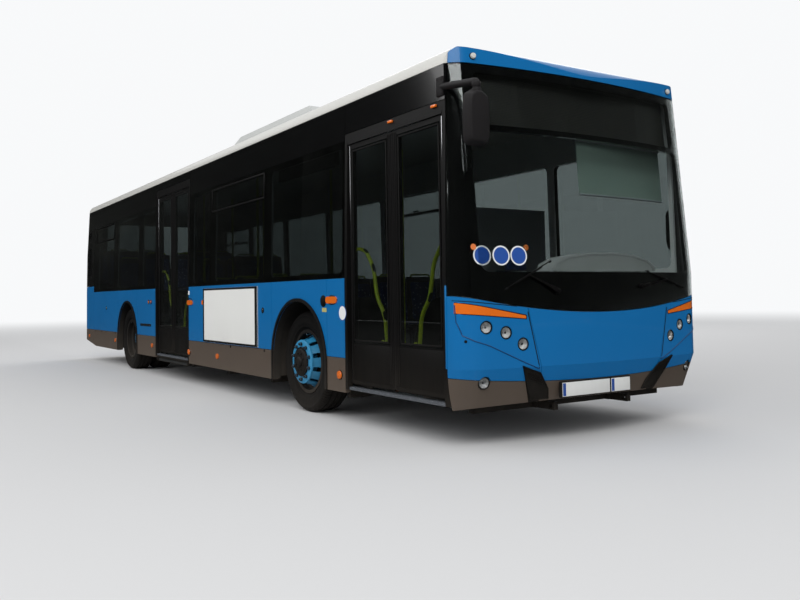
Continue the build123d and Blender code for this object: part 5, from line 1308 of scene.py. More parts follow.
def make_leaf_dress(name, trailing, hand, top):
    """Rails with flanges, rubber edges, glass beads and fittings of one door leaf."""
    body = f"door_leaf_{name}"
    route = [(-1.159, trailing + hand * u, z) for u, z in LEAF_ROUTE]
    rail = [tube(rounded(route, 0.06), 0.0163, False, 5)]
    for u, z in ((0.028, 1.5), (0.447, 0.712)):
        y = trailing + hand * u
        rail.append(disc(0.013, 0.03, (-1.189, y, z), (1, 0, 0), 20))
        rail.append(disc(0.026, 0.006, (-1.2, y, z), (1, 0, 0), 24, 0.0015))
    done(rail, f"leaf_rail_{name}", "rail_lime", body, 50)
    leading = trailing + hand * 0.676
    seal = []
    y = leading + hand * 0.0005
    for x in (DOOR_MIDDLE_X - 0.013, DOOR_MIDDLE_X + 0.013):
        seal.append(tube([(x, y, 0.36), (x, y, top - 0.004)], 0.0045, False))
    start = (DOOR_MIDDLE_X, trailing + hand * 0.02, 0.351)
    end = (DOOR_MIDDLE_X, leading - hand * 0.02, 0.351)
    seal.append(beam(start, end, 0.02, 0.01, 0.002))
    low, high = sorted((trailing + hand * 0.052, leading - hand * 0.085))
    for z in (0.722, top - 0.06):
        seal.append(beam((-1.2395, low, z), (-1.2395, high, z), 0.005, 0.014, 0.001))
    for y in (low, high):
        seal.append(beam((-1.2395, y, 0.722), (-1.2395, y, top - 0.06), 0.014, 0.005, 0.001))
    for offset in (0.012, 0.034, 0.056):
        y = leading - hand * offset
        seal.append(tube([(-1.2405, y, 0.39), (-1.2405, y, top - 0.02)], 0.0035, False, 2))
    done(seal, f"leaf_seals_{name}", "seal_rubber", body, 50)
    y = trailing + hand * 0.009
    edge = beam((DOOR_FACE_X, y, 0.37), (DOOR_FACE_X, y, top - 0.01), 0.006, 0.003, 0.0008)
    done(edge, f"leaf_edge_{name}", "bright_metal", body)
    low, high = sorted((trailing + hand * 0.035, leading - hand * 0.035))
    kick = [block((DOOR_FACE_X, low, 0.385), (-1.2385, high, 0.69), 0.001)]
    kick.append(block((-1.2045, low, 0.385), (-1.2025, high, 0.69), 0.001))
    for y in (low + 0.03, high - 0.03):
        for z in (0.405, 0.67):
            kick.append(disc(0.006, 0.003, (-1.2412, y, z), (1, 0, 0), 12, 0.0008))
    done(kick, f"leaf_kick_{name}", "frame_black", body)


for row in LEAVES:
    make_leaf_dress(*row)


# Wheels

STUD_RADIUS = 0.1675
HUB_FACE_X = 1.247
RIM_HALF_WIDTH = 0.108
FRONT_CAP = [
    (0.0, 0.03), (0.034, 0.03), (0.044, 0.027), (0.05, 0.02), (0.052, 0.01), (0.112, 0.008), (0.118, 0.006),
    (0.122, 0.001), (0.1385, 0.001), (0.1396, -0.004), (0.1392, -0.012), (0.0, -0.012),
]
REAR_CAP = [
    (0.0, 0.02), (0.045, 0.02), (0.055, 0.014), (0.058, 0.004), (0.098, 0.003), (0.104, 0.0), (0.108, -0.006),
    (0.1305, -0.008), (0.1312, -0.03), (0.0, -0.03),
]
NUT_RING = [
    (0.1425, 0.0), (0.1425, 0.0045), (0.144, 0.006), (0.202, 0.006), (0.2075, 0.003), (0.209, -0.004),
    (0.209, -0.012), (0.2065, -0.012), (0.2065, -0.002), (0.203, 0.0),
]
RIM_EDGE = [
    (0.2735, -0.004), (0.274, 0.0015), (0.292, 0.0035), (0.3045, 0.0025), (0.3075, -0.003), (0.3065, -0.008)
]
# Profiles of the dark liners in the rims' barrels, painted shade deep inside the wheels
FRONT_WELL = [(0.2738, 0.1075), (0.2738, 0.0485), (0.2512, 0.0338)]
REAR_WELL = [(0.2738, 0.1075), (0.2738, 0.0485), (0.2398, 0.0265), (0.2398, -0.016)]


def make_nut(side):
    """A hexagonal wheel nut on its washer, with the stud's end, about the X axis."""
    washer = disc(0.021, 0.004, (0.002, 0, 0), (1, 0, 0), 20, 0.001)
    nut = disc(0.0185, 0.022, (0.014, 0, 0), (1, 0, 0), 6, 0.0015)
    stud = disc(0.0115, 0.036, (0.018, 0, 0), (1, 0, 0), 14, 0.0015)
    nut = united([washer, nut, stud])
    nut.data.transform(Matrix.Diagonal((side, 1, 1, 1)))
    if side < 0:
        close_up(nut)
    return nut


def make_wheel_dress():
    """Nuts, hub caps, bead rings and valves of all four corners, and dark liners in the rims' barrels as
    painted shade.
    """
    for side, name in ((-1, "right"), (1, "left")):
        nut = make_nut(side)
        for row, y, nut_x, body in (
            ("front", FRONT_AXLE_Y, 1.2285, f"wheel_front_{name}"),
            ("rear", REAR_AXLE_Y, 0.9415, f"wheels_rear_{name}"),
        ):
            centre = Vector((0, y, HUB_Z))
            nuts = []
            for along, up in around(10, STUD_RADIUS, 0.5):
                nuts.append(copied(nut, Matrix.Translation(centre + Vector((side * nut_x, along, up)))))
            done(nuts, f"wheel_nuts_{row}_{name}", "nut_steel", body, 30)
            if row == "front":
                ring = turned(NUT_RING, (side * (nut_x - 0.001), y, HUB_Z), side, 72)
                done(ring, f"nut_ring_{name}", "wheel_paint", body, 40)
        bpy.data.objects.remove(nut)
        outer_x = REAR_WHEEL_X + TWIN_SPACING / 2
        for row, profile, x, y, bolt_x, count, radius, height, body in (
            ("front", FRONT_CAP, HUB_FACE_X, FRONT_AXLE_Y, 0.0155, 8, 0.083, 0.01, f"wheel_front_{name}"),
            ("rear", REAR_CAP, outer_x + 0.02, REAR_AXLE_Y, -0.001, 10, 0.119, 0.014, f"wheels_rear_{name}"),
        ):
            bolts = [turned(profile, (side * x, y, HUB_Z), side, 56, False)]
            for along, up in around(count, radius, 0.5):
                place = (side * (x + bolt_x), y + along, HUB_Z + up)
                bolts.append(disc(0.008, height, place, (1, 0, 0), 6, 0.001))
            done(bolts, f"hub_cap_{row}_{name}", "hub_paint", body, 40)
        for row, well, x, y, body in (
            ("front", FRONT_WELL, FRONT_WHEEL_X, FRONT_AXLE_Y, f"wheel_front_{name}"),
            ("rear", REAR_WELL, outer_x, REAR_AXLE_Y, f"wheels_rear_{name}"),
        ):
            edge_x = x + RIM_HALF_WIDTH
            bead = turned(RIM_EDGE, (side * edge_x, y, HUB_Z), side, 72)
            done(bead, f"rim_edge_{row}_{name}", "cast_dark", body, 50)
            # A dark liner inside the barrel: painted shade deep in the wheel
            liner = well + [(radius - 0.0012, along + 0.0006) for radius, along in reversed(well)]
            dark = turned(liner, (side * x, y, HUB_Z), side, 64)
            done(dark, f"rim_well_shade_{row}_{name}", "cast_dark", body, 50)
            root = (side * (edge_x - 0.03), y, HUB_Z + 0.262)
            stem = tube([root, (side * (edge_x + 0.004), y, HUB_Z + 0.258)], 0.005, False)
            tip = disc(0.0065, 0.014, (side * (edge_x + 0.008), y, HUB_Z + 0.257), (1, 0, -0.1), 12, 0.001)
            done([stem, tip], f"valve_{row}_{name}", "bright_metal", body)


make_wheel_dress()

# Things laid on the body's surface


def touch(origin, aim, *names):
    """Where a straight line first meets some CAD nodes, and the way that the surface faces there."""
    start, nearest = Vector(origin), None
    for name in names:
        hit, place, facing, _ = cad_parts[name].ray_cast(start, Vector(aim).normalized())
        if hit and (nearest is None or (place - start).length < (nearest[0] - start).length):
            nearest = (place, facing)
    return nearest


def laid(points, axis, start, lift, *names, steps=8):
    """A line drawn in a straight view, divided and laid on the nodes that it meets."""
    others = [index for index in range(3) if index != axis]
    aim = Vector((0, 0, 0))
    aim[axis] = -1.0 if start > 0 else 1.0
    line = []
    for first, second in zip(points, points[1:]):
        for step in range(steps):
            line.append([a + (b - a) * step / steps for a, b in zip(first, second)])
    line.append(list(points[-1]))
    places = []
    for spot in line:
        origin = Vector((0, 0, 0))
        origin[axis] = start
        origin[others[0]], origin[others[1]] = spot
        found = touch(origin, aim, *names)
        if found:
            places.append(found[0] + found[1] * lift)
    return places


FRONT_SKIN = ("front_panel", "bumpers", "windscreen", "roof_cap", "grilles", "indicators", "cantrails")
# Crease below the headlamps, in the front view, drawn as a darker blue line of painted shade
CREASE = [
    (1.262, 1.02), (1.258, 0.9), (1.235, 0.806), (1.173, 0.768), (1.069, 0.733), (0.898, 0.656),
    (0.784, 0.605), (0.655, 0.553),
]


def make_front_lines():
    """Creases drawn as darker blue lines of painted shade, seams and trims of the front's lower corners, and
    a black disc of painted shade in a small hole at each corner.
    """
    crease_shade_lines, seams, strips, holes = [], [], [], []
    for side in (-1, 1):
        # The crease line is a darker blue than the panel: painted shade of the crease
        crease = laid([(side * x, z) for x, z in CREASE], 1, AHEAD_Y, -0.0005, *FRONT_SKIN, steps=6)
        crease_shade_lines.append(tube(crease, 0.0045, False, 3))
        seam = laid(
            [(side * 1.268, 1.052), (side * 1.1, 1.032), (side * 0.757, 0.998)], 1, AHEAD_Y, 0.0, *FRONT_SKIN
        )
        seams.append(tube(seam, 0.0028, False, 2))
        for ends in (
            [(1.262, 1.039), (0.763, 0.941)],
            [(1.262, 0.959), (0.763, 0.914)],
            [(0.763, 0.941), (0.763, 0.914)],
        ):
            line = laid([(side * x, z) for x, z in ends], 1, AHEAD_Y, 0.0, *FRONT_SKIN, steps=14)
            seams.append(tube(line, 0.003, False, 2))
        edge = laid([(side * 0.757, 0.998), (side * 0.655, 0.553)], 1, AHEAD_Y, -0.001, *FRONT_SKIN, steps=14)
        seams.append(tube(edge, 0.0042, False, 2))
        # A small black disc where the corner has a small hole: painted shade of the hole's inside
        corner = touch((side * 1.4, -5.69, 0.767), (-side, 0, 0), *FRONT_SKIN)
        if corner:
            holes.append(disc(0.011, 0.004, corner[0], corner[1], 20, 0.001))
        low, high = sorted((side * 1.2735, side * 1.2785))
        strips.append(block((low, -5.545, 0.57), (high, -5.527, 1.16), 0.0015))
    done(crease_shade_lines, "front_crease_shades", "crease_shade_blue", angle=50)
    done(seams, "front_seams", "seal_rubber", angle=50)
    done(strips, "corner_strips", "blue_paint")
    done(holes, "corner_hole_shades", "moulded_black")


def make_frit():
    """The black ground behind the windscreen's wrapped corners and along its foot."""
    sheets = []
    for side in (-1, 1):
        columns = []
        for step in range(13):
            angle = math.radians(4 + 86 * step / 12)
            out = Vector((side * math.sin(angle), -math.cos(angle), 0))
            column = []
            for row in range(30):
                z = 1.135 + (2.735 - 1.135) * row / 29
                centre = Vector((side * 1.1, -5.53 + RAKE_SLOPE * max(0, z - RAKE_FOOT_Z), z))
                found = touch(centre + out, -out, "windscreen")
                column.append(found[0] - out * 0.0125 if found else None)
            columns.append(column)
        shape = bmesh.new()
        made = [[shape.verts.new(place) if place else None for place in column] for column in columns]
        for first, second in zip(made, made[1:]):
            for row in range(29):
                corners = (first[row], second[row], second[row + 1], first[row + 1])
                if all(corners) and (corners[0].co - corners[1].co).length < 0.1:
                    shape.faces.new(corners)
        data = bpy.data.meshes.new("frit")
        shape.to_mesh(data)
        shape.free()
        piece = bpy.data.objects.new("frit", data)
        scene.collection.objects.link(piece)
        close_up(piece)
        sheets.append(piece)
    done(sheets, "screen_frit", "moulded_black", angle=60)


def make_arch_liners():
    """Dark sheets that cover the cut edges of the walls inside the wheel arches."""
    liners = []
    for axle_y in (FRONT_AXLE_Y, REAR_AXLE_Y):
        for side in (-1, 1):
            outline = []
            for radius, order in ((ARCH_RADIUS - 0.0005, 1), (ARCH_RADIUS - 0.0025, -1)):
                path = [(radius, SKIRT_FOOT_Z + 0.004)]
                path += [(along, ARCH_Z + up) for along, up in around(80, radius)[:41]]
                path.append((-radius, SKIRT_FOOT_Z + 0.004))
                outline += [(side * 1.2, axle_y + along, z) for along, z in path[::order]]
            liners.append(plate(outline, (side * 0.0735, 0, 0)))
    done(liners, "arch_liners", "housing_dark")


def make_inlets():
    """The black air inlets' covers, laid over the bumper's corners, with ribs in their throats."""
    covers, ribs = [], []
    outline = [(0.802, 0.576), (0.64, 0.524), (0.533, 0.4), (0.505, 0.322), (0.664, 0.322), (0.75, 0.47)]
    for side in (-1, 1):
        ring = []
        for x, z in outline:
            ring.append((side * x, face_y(x, z) - 0.007, z))
        cover = plate(ring, (0, 0.03, 0))
        soften(cover, 0.005, 2, 30)
        covers.append(cover)
        edge = [(x, y - 0.001, z) for x, y, z in ring]
        covers.append(tube(edge, 0.004, False, 2, True))
        for share in (0.3, 0.45, 0.6, 0.75):
            low = Vector(ring[1]).lerp(Vector(ring[2]), share)
            high = Vector(ring[0]).lerp(Vector(ring[5]), share)
            inner = low.lerp(high, 0.15) + Vector((0, -0.002, 0))
            outer = low.lerp(high, 0.85) + Vector((0, -0.002, 0))
            ribs.append(beam(inner, outer, 0.006, 0.008, 0.002))
    done(covers, "inlet_covers", "moulded_black", angle=30)
    done(ribs, "inlet_ribs", "frame_black")


def make_cap_lamps():
    """Small clear marker lamps on the roof cap's front corners."""
    lenses, feet = [], []
    for side in (-1, 1):
        place, facing = touch((side * 1.06, AHEAD_Y, 2.815), (0, 1, 0), "roof_cap")
        feet.append(disc(0.026, 0.008, place, facing, 28, 0.002))
        lenses.append(disc(0.021, 0.026, place + facing * 0.011, facing, 28, 0.008))
    done(feet, "marker_feet", "moulded_black")
    done(lenses, "marker_lenses", "roof_paint")


make_front_lines()
make_frit()
make_arch_liners()
make_inlets()
make_cap_lamps()


# Mirrors


def mirror_head(width, height, depth):
    """A mirror's housing about its middle, facing back, with a narrow neck on top, and its glass and rim."""
    half, tall = width / 2, height / 2
    outline = [
        (-0.3 * half, tall), (0.3 * half, tall), (0.42 * half, 0.94 * tall), (0.8 * half, 0.84 * tall),
        (0.97 * half, 0.64 * tall), (half, 0.3 * tall), (half, -0.72 * tall), (0.9 * half, -0.92 * tall),
        (0.66 * half, -tall),
    ]
    outline += [(-x, z) for x, z in reversed(outline[2:])]
    shell = plate([(x, -depth / 2, z) for x, z in outline], (0, depth, 0))
    edit(shell)
    choose(shell, "faces", lambda middle, normal: normal.y < -0.9)
    bpy.ops.transform.resize(value=(0.8, 1, 0.88), center_override=(0, 0, 0))
    rest()
    soften(shell, min(0.014, depth * 0.2), 3, 30)
    inner = [(x * 0.88, z * 0.88 - 0.008) for x, z in outline if abs(x) > 0.25 * half]
    glass = plate([(x, depth / 2 - 0.001, z) for x, z in inner], (0, 0.003, 0))
    soften(glass, 0.0012, 1)
    ring = [(x, depth / 2 + 0.001, z) for x, z in inner]
    rim = tube(ring, 0.004, False, 2, True)
    return shell, glass, rim


# Middle and size of each head, the arm's route and its radius
MIRRORS = [
    (
        (-1.370, -6.050, 2.255),
        (0.193, 0.38, 0.078),
        [(-1.235, -5.486, 2.6), (-1.37, -6.05, 2.492), (-1.37, -6.05, 2.42)],
        0.0262,
    ),
    (
        (1.3925, -5.400, 1.640),
        (0.148, 0.378, 0.068),
        [
            (1.27, -5.44, 1.15), (1.36, -5.44, 1.15), (1.3925, -5.43, 1.2), (1.3925, -5.4, 1.32),
            (1.3925, -5.4, 1.47),
        ],
        0.0162,
    ),
]


def make_mirrors():
    """The kerb side mirror on its arm ahead of the corner, and the driver's mirror beside the cab."""
    shells, glasses, rims = [], [], []
    for place, size, route, radius in MIRRORS:
        shell, glass, rim = mirror_head(*size)
        if place[0] > 0:
            turn = Matrix.Diagonal((1, 1, -1, 1))
            for piece in (shell, glass, rim):
                piece.data.transform(turn)
                close_up(piece)
        for piece, group in ((shell, shells), (glass, glasses), (rim, rims)):
            piece.data.transform(Matrix.Translation(place))
            group.append(piece)
        shells.append(tube(rounded(route, 0.05, 6), radius, False, 5))
        end = Vector(route[-1])
        shells.append(disc(radius + 0.006, 0.05, end, (0, 0, 1), 32, 0.004))
        elbow = Vector(route[-2])
        shells.append(disc(radius + 0.004, 0.03, elbow - Vector((0, 0, 0.02)), (0, 0, 1), 32, 0.003))
    shells.append(block((-1.262, -5.526, 2.528), (-1.236, -5.444, 2.672), 0.008, 3))
    for y, z in ((-5.51, 2.55), (-5.46, 2.55), (-5.51, 2.65), (-5.46, 2.65)):
        shells.append(disc(0.007, 0.006, (-1.263, y, z), (1, 0, 0), 6, 0.001))
    shells.append(block((1.272, -5.485, 1.105), (1.288, -5.395, 1.195), 0.005, 3))
    shells = done(shells, "mirror_shells", "mirror_shell", angle=40)
    done(glasses, "mirror_glasses", "chrome")
    done(rims, "mirror_rims", "seal_rubber")
    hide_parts("mirrors")


make_mirrors()


# Seats

SEAT_COLUMNS = (0.527, 0.962)
# Rows of seats along Y, and the floor under each
SEAT_ROWS = [
    (-2.23, 0.325), (-1.4, 0.325), (-0.56, 0.325), (2.27, 0.8), (3.83, 0.8), (4.56, 0.985), (5.11, 0.985)
]
DRIVER_SEAT = (0.62, -4.33, 0.325)
SHELL_PROFILE = [
    (-0.222, 0.425), (-0.2, 0.437), (0.11, 0.418), (0.15, 0.432), (0.168, 0.475), (0.238, 0.975), (0.25, 1.0),
    (0.268, 1.0), (0.268, 0.98), (0.2, 0.42), (0.17, 0.395), (0.1, 0.392), (-0.205, 0.402),
]


def pad(width, length, thickness, crown, pull):
    """A cushion lying flat on z = 0: crowned on top, with sides that pull in between its corners."""
    rest()
    bpy.ops.mesh.primitive_cube_add(size=1, location=(0, 0, thickness / 2))
    piece = bpy.context.object
    piece.scale = (width, length, thickness)
    bpy.ops.object.transform_apply(location=True, rotation=True, scale=True)
    edit(piece)
    bpy.ops.mesh.select_all(action="SELECT")
    bpy.ops.mesh.subdivide(number_cuts=5)
    rest()
    for vertex in piece.data.vertices:
        u = 2 * vertex.co.x / width
        v = 2 * vertex.co.y / length
        height = vertex.co.z / thickness
        swell = (1 - u**4) * (1 - v**4)
        vertex.co.z += height * crown * swell - height * 0.25 * crown * math.exp(-((u / 0.16) ** 2)) * swell
        edge = 1 - 0.25 * (2 * height - 1) ** 2
        vertex.co.x *= 1 - (1 - edge) * 0.12 - pull * (1 - v**2) * abs(u) ** 3
        vertex.co.y *= 1 - (1 - edge) * 0.12 - pull * (1 - u**2) * abs(v) ** 3
    pick(piece)
    modifier = piece.modifiers.new("smooth", "SUBSURF")
    modifier.levels = 1
    modifier.render_levels = 1
    bpy.ops.object.modifier_apply(modifier=modifier.name)
    return piece


def make_seats():
    """Moulded seats on tubular feet, each with its two cushions and a lime handle, and the driver's seat."""
    shell = plate([(-0.21, y, z) for y, z in SHELL_PROFILE], (0.42, 0, 0))
    soften(shell, 0.008, 2, 30)
    feet = []
    for side in (-1, 1):
        feet.append(beam((side * 0.13, -0.02, 0.012), (side * 0.13, 0.02, 0.395), 0.03, 0.045, 0.004))
        feet.append(block((side * 0.13 - 0.035, -0.12, 0.001), (side * 0.13 + 0.035, 0.12, 0.012), 0.003))
    feet.append(beam((-0.16, 0.0, 0.35), (0.16, 0.0, 0.35), 0.03, 0.03, 0.004))
    foot = united(feet)
    low_pad = pad(0.385, 0.325, 0.022, 0.02, 0.035)
    low_pad.data.transform(
        Matrix.Translation((0, -0.045, 0.432)) @ Matrix.Rotation(math.radians(-3.2), 4, "X")
    )
    back_pad = pad(0.37, 0.47, 0.02, 0.02, 0.035)
    lean = Matrix.Rotation(math.radians(82), 4, "X")
    back_pad.data.transform(Matrix.Translation((0, 0.192, 0.705)) @ lean)
    loop = [(-0.14, 0.257, 0.985), (-0.13, 0.262, 1.025), (0.13, 0.262, 1.025), (0.14, 0.257, 0.985)]
    handle = tube(rounded(loop, 0.025), 0.0115, False, 3)
    places = []
    for y, floor in SEAT_ROWS:
        for side in (-1, 1):
            for x in SEAT_COLUMNS:
                places.append((side * x, y, floor))
    shells, frames, handles = [], [], []
    for number, place in enumerate([*places, DRIVER_SEAT]):
        move = Matrix.Translation(place)
        driver = number == len(places)
        shells.append(copied(shell, move))
        if not driver:
            frames.append(copied(foot, move))
            handles.append(copied(handle, move))
        for part, source in (("seat_cushion", low_pad), ("back_cushion", back_pad)):
            cushion = copied(source, move)
            cushion = done(cushion, f"{part}_{number + 1:02d}", "seat_cloth", angle=60)
    for piece in (shell, foot, low_pad, back_pad, handle):
        bpy.data.objects.remove(piece)
    x, y, floor = DRIVER_SEAT
    for step in range(4):
        z = floor + 0.1 + 0.07 * step
        wide = 0.17 - 0.006 * (step % 2)
        frames.append(slab(x, y, wide, wide, z, z + 0.05, 0.02))
    frames.append(slab(x, y, 0.19, 0.2, floor + 0.001, floor + 0.06, 0.01))
    head = pad(0.26, 0.17, 0.05, 0.02, 0.04)
    head.data.transform(Matrix.Translation((x, y + 0.238, floor + 1.08)) @ lean)
    head = done(head, "head_cushion", "seat_cloth", angle=60)
    for side in (-1, 1):
        stem_x, arm_x = x + side * 0.05, x + side * 0.245
        frames.append(tube([(stem_x, y + 0.255, floor + 0.97), (stem_x, y + 0.262, floor + 1.1)], 0.007))
        low, high = (arm_x - 0.025, y - 0.14, floor + 0.62), (arm_x + 0.025, y + 0.16, floor + 0.66)
        shells.append(block(low, high, 0.015))
    shells = done(shells, "seat_shells", "seat_shell", angle=50)
    done(frames, "seat_feet", "interior_grey", angle=40)
    done(handles, "seat_handles", "rail_lime", angle=50)
    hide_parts("seats")


make_seats()


# Rear end

REAR_SKIN = ("rear_wall", "bumpers", "cantrails", "glass", "engine_door", "roof")


def make_rear_lamps():
    """Round rear lamps: a bezel and a domed lens with a ridged face."""
    bezel = turned(
        [(0.0515, -0.02), (0.0515, 0.003), (0.05, 0.0055), (0.0465, 0.005), (0.0445, -0.001), (0.0445, -0.02)]
    )
    ridges = [(0.0, 0.0075)]
    for step in range(1, 8):
        radius = 0.0055 * step
        rise = 0.0075 - 0.0045 * (radius / 0.044) ** 2
        ridges += [(radius - 0.001, rise), (radius, rise - 0.0012), (radius + 0.001, rise)]
    ridges += [(0.0443, 0.002), (0.0443, -0.02), (0.0, -0.02)]
    lens = turned(ridges, closed=False)
    bezels = []
    lenses = {"red_lens": [], "amber_lens": [], "disc_white": []}
    for z, finish in ((1.44, "red_lens"), (1.27, "amber_lens"), (1.14, "red_lens"), (1.01, "disc_white")):
        for side in (-1, 1):
            place, facing = touch((side * 1.085, BEHIND_Y, z), (0, -1, 0), "rear_lamps", "rear_wall")
            move = Matrix.Translation(place + facing * 0.0005) @ facing_turn(facing)
            bezels.append(copied(bezel, move))
            lenses[finish].append(copied(lens, move))
    bpy.data.objects.remove(bezel)
    bpy.data.objects.remove(lens)
    done(lenses["amber_lens"], "rear_lenses_amber", "amber_lens", angle=25)
    done(lenses["disc_white"], "rear_lenses_clear", "disc_white", angle=25)
    red = done(lenses["red_lens"], "rear_lenses_red", "red_lens", angle=25)
    done(bezels, "rear_bezels", "moulded_black", angle=50)
    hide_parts("rear_lamps")


def make_rear_trim():
    """The rear window's rubber, the engine door's edge, handles and locks, and the small lamps."""
    corners = [(-0.905, 1.755), (0.905, 1.755), (0.905, 2.565), (-0.905, 2.565)]
    loop = []
    for index, corner in enumerate(corners):
        before, after = Vector(corners[index - 1]), Vector(corners[(index + 1) % 4])
        here = Vector(corner)
        start = here + (before - here).normalized() * 0.07
        end = here + (after - here).normalized() * 0.07
        for step in range(7):
            share = step / 6
            loop.append(tuple((1 - share) ** 2 * start + 2 * share * (1 - share) * here + share**2 * end))
    loop.append(loop[0])
    rubber = [tube(laid(loop, 1, BEHIND_Y, 0.0, *REAR_SKIN, steps=3), 0.007, False, 3)]
    door = [(-0.938, 0.604), (0.938, 0.604), (0.938, 1.638), (-0.938, 1.638), (-0.938, 0.604)]
    door_skin = ("rear_wall", "bumpers", "engine_door", "cantrails")
    rubber.append(tube(laid(door, 1, BEHIND_Y, 0.0, *door_skin, steps=10), 0.003, False, 2))
    done(rubber, "rear_rubbers", "seal_rubber", angle=50)

    handles, locks, slots = [], [], []
    for side in (-1, 1):
        place, facing = touch((side * 0.62, BEHIND_Y, 0.72), (0, -1, 0), "engine_door")
        handles.append(
            block((place.x - 0.07, place.y - 0.004, 0.69), (place.x + 0.07, place.y + 0.006, 0.75), 0.003)
        )
        handles.append(
            block((place.x - 0.05, place.y + 0.004, 0.712), (place.x + 0.05, place.y + 0.014, 0.728), 0.004)
        )
        place, facing = touch((side * 0.82, BEHIND_Y, 0.72), (0, -1, 0), "engine_door")
        locks.append(disc(0.016, 0.008, place, facing, 24, 0.002))
        place, facing = touch((side * 1.1, BEHIND_Y, 0.5), (0, -1, 0), "bumpers")
        slots.append(
            block((place.x - 0.06, place.y - 0.01, 0.475), (place.x + 0.06, place.y + 0.004, 0.525), 0.003)
        )
    done(handles, "engine_handles", "moulded_black", "engine_lid")
    done(locks, "engine_locks", "bright_metal", "engine_lid")
    done(slots, "rear_reflectors", "red_lens")
    lights = []
    for x in (-0.14, 0.14):
        place, facing = touch((x, BEHIND_Y, 0.532), (0, -1, 0), "bumpers")
        lights.append(block((x - 0.035, place.y - 0.004, 0.523), (x + 0.035, place.y + 0.006, 0.541), 0.003))
    for side in (-1, 1):
        place, facing = touch((side * 1.05, BEHIND_Y, 2.65), (0, -1, 0), "cantrails", "rear_wall")
        lights.append(
            block((place.x - 0.04, place.y - 0.004, 2.635), (place.x + 0.04, place.y + 0.006, 2.665), 0.004)
        )
    done(lights, "rear_small_lamps", "smoked_lens")


make_rear_lamps()
make_rear_trim()


# Roof


def make_roof_details():
    """Fan guards and vents of the cooling unit, seals and handles of the hatches, and roof seams."""
    rings, fans, dark, seams = [], [], [], []
    top = ROOF_UNIT_TOP_Z
    for y in (-2.2, -1.1):
        for radius in (0.05, 0.11, 0.17, 0.23):
            wire = [
                (radius - 0.004, 0.0), (radius - 0.003, 0.004), (radius + 0.003, 0.004), (radius + 0.004, 0.0)
            ]
            ring = turned(wire)
            turn = Matrix.Rotation(math.radians(-90), 4, "Y")
            ring.data.transform(Matrix.Translation((0, y, top - 0.001)) @ turn)
            rings.append(ring)
        for across, along in around(8, 0.235):
            rings.append(beam((0, y, top + 0.001), (across, y + along, top + 0.001), 0.006, 0.003, 0))
        fans.append(disc(0.24, 0.003, (0, y, top - 0.001), (0, 0, 1), 48, 0.001))
    for side in (-1, 1):
        for y in (-2.45, -2.0, -1.3, -0.85):
            for step in range(6):
                z = 2.93 + step * 0.022
                found = touch((side * 1.4, y, z), (-side, 0, 0), "roof_unit")
                if found:
                    x = found[0].x
                    dark.append(slab(x, y, 0.002, 0.14, z - 0.005, z + 0.003, 0.001, 1))
    for y in (0.9, 3.6):
        low, high = y - 0.325, y + 0.325
        border = [(-0.4, low), (0.4, low), (0.4, high), (-0.4, high), (-0.4, low)]
        seams.append(tube([(x, place, 2.978) for x, place in border], 0.006, False, 2))
        for x in (-0.25, 0.25):
            dark.append(block((x - 0.04, low - 0.012, 2.95), (x + 0.04, low + 0.02, 2.972), 0.004))
            dark.append(disc(0.012, 0.02, (x, high - 0.06, 2.988), (0, 0, 1), 16, 0.003))
    for y in (-5.0, -3.4, -0.1, 1.9, 2.6, 4.6, 5.3):
        line = laid(
            [(-1.15, y), (-0.6, y), (0.0, y), (0.6, y), (1.15, y)], 2, ABOVE_Z, -0.0005, "roof", steps=4
        )
        if line:
            seams.append(tube(line, 0.003, False, 2))
    done(rings, "fan_guards", "guard_grey", angle=40)
    done(fans, "fan_wells", "housing_dark")
    done(dark, "roof_vents", "moulded_black")
    done(seams, "roof_seams", "seal_rubber", angle=50)


make_roof_details()


# Cab and saloon

HELM_PLACE = (0.62, -4.91, 1.13)
HELM_RADIUS = 0.225


def make_helm():
    """The steering wheel's grip, padded boss, spokes' covers and stalks."""
    turn = Matrix.Translation(HELM_PLACE) @ Matrix.Rotation(math.radians(-22), 4, "X")
    grip = []
    for start in (0.25, 2.35, 4.45):
        arc = []
        for step in range(15):
            angle = start + 1.45 * step / 14
            arc.append((HELM_RADIUS * math.cos(angle), HELM_RADIUS * math.sin(angle), 0))
        grip.append(tube(arc, 0.0168, False, 5))
    grip.append(disc(0.062, 0.022, (0, 0, 0.022), (0, 0, 1), 36, 0.008))
    for near, far in zip(around(3, 0.05), around(3, 0.19)):
        grip.append(beam((*near, 0.01), (*far, 0.008), 0.03, 0.006, 0.002))
    for piece in grip:
        piece.data.transform(turn)
    done(grip, "helm_grip", "interior_dark", "helm", 45)
    stalks = []
    for side in (-1, 1):
        root = turn @ Vector((side * 0.03, 0.0, -0.06))
        tip = turn @ Vector((side * 0.2, 0.03, -0.05))
        stalks.append(tube([root, (root + tip) / 2, tip], 0.006, False))
        stalks.append(disc(0.011, 0.035, tip, tip - root, 16, 0.004))
    done(stalks, "helm_stalks", "interior_dark")


POLES = [
    (-0.37, -2.47, 0.325), (0.37, -2.47, 0.325), (-0.37, -0.07, 0.325), (0.37, -0.77, 0.325),
    (0.37, 1.43, 0.325),
]


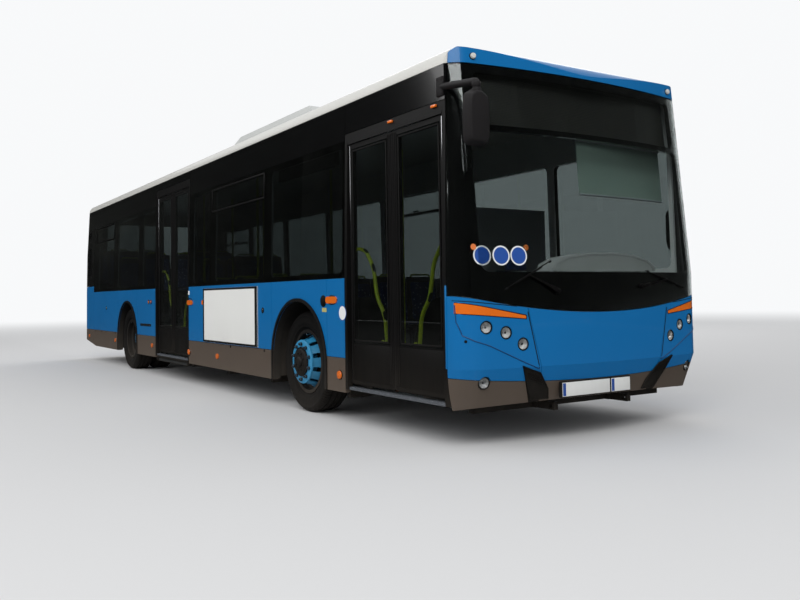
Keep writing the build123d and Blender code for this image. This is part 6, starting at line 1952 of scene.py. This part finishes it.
def make_saloon():
    """Pole flanges, stop buttons, a fare machine, step edges and the ceiling's lamps."""
    flanges, buttons, reds, edges, lamps = [], [], [], [], []
    for x, y, floor in POLES:
        found = touch((x + 0.1, y, 1.4), (-1, 0, 0), "handrails")
        for z, height in ((floor + 0.006, 0.012), (2.82, 0.014)):
            flanges.append(disc(0.042, height, (x, y, z), (0, 0, 1), 28, 0.003))
        if found:
            buttons.append(slab(x, y, 0.03, 0.035, 1.36, 1.48, 0.012, 3))
            for side in (-1, 1):
                reds.append(disc(0.018, 0.01, (x + side * 0.03, y, 1.42), (1, 0, 0), 24, 0.003))
    machine = block((-0.43, -4.68, 1.02), (-0.31, -4.56, 1.28), 0.02, 3)
    buttons.append(machine)
    reds.append(disc(0.02, 0.006, (-0.433, -4.62, 1.2), (1, 0, 0), 24, 0.002))
    for y0, y1 in ((-5.45, -4.16), (0.15, 1.44)):
        edges.append(block((-1.13, y0, 0.3255), (-1.08, y1, 0.3285), 0.001))
    for side in (-1, 1):
        for y in (-4.6, -3.0, -1.4, 0.2, 1.8, 3.4, 5.0):
            lamps.append(slab(side * 0.7, y, 0.06, 0.55, 2.795, 2.825, 0.01))
    done(flanges, "pole_flanges", "rail_lime")
    done(buttons, "stop_boxes", "interior_dark")
    done(reds, "stop_buttons", "red_lens")
    done(edges, "step_edges", "tab_orange")
    done(lamps, "ceiling_lamps", "disc_white")


def make_ramp_grip():
    """Raised grip bars and edge stripes on the ramp plate."""
    (x_low, y_low, _), (x_high, y_high, top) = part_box("ramp")
    bars, stripes = [], []
    count = 20
    for step in range(count):
        x = x_low + 0.05 + (x_high - x_low - 0.1) * step / (count - 1)
        near, far = (x - 0.004, y_low + 0.06, top), (x + 0.004, y_high - 0.06, top + 0.002)
        bars.append(block(near, far, 0.0008, 1))
    for y in (y_low + 0.025, y_high - 0.025):
        near, far = (x_low + 0.02, y - 0.018, top), (x_high - 0.02, y + 0.018, top + 0.0015)
        stripes.append(block(near, far, 0.0005, 1))
    done(bars, "ramp_bars", "ramp_metal", "ramp_plate")
    done(stripes, "ramp_stripes", "tab_orange", "ramp_plate")


make_helm()
make_saloon()
make_ramp_grip()
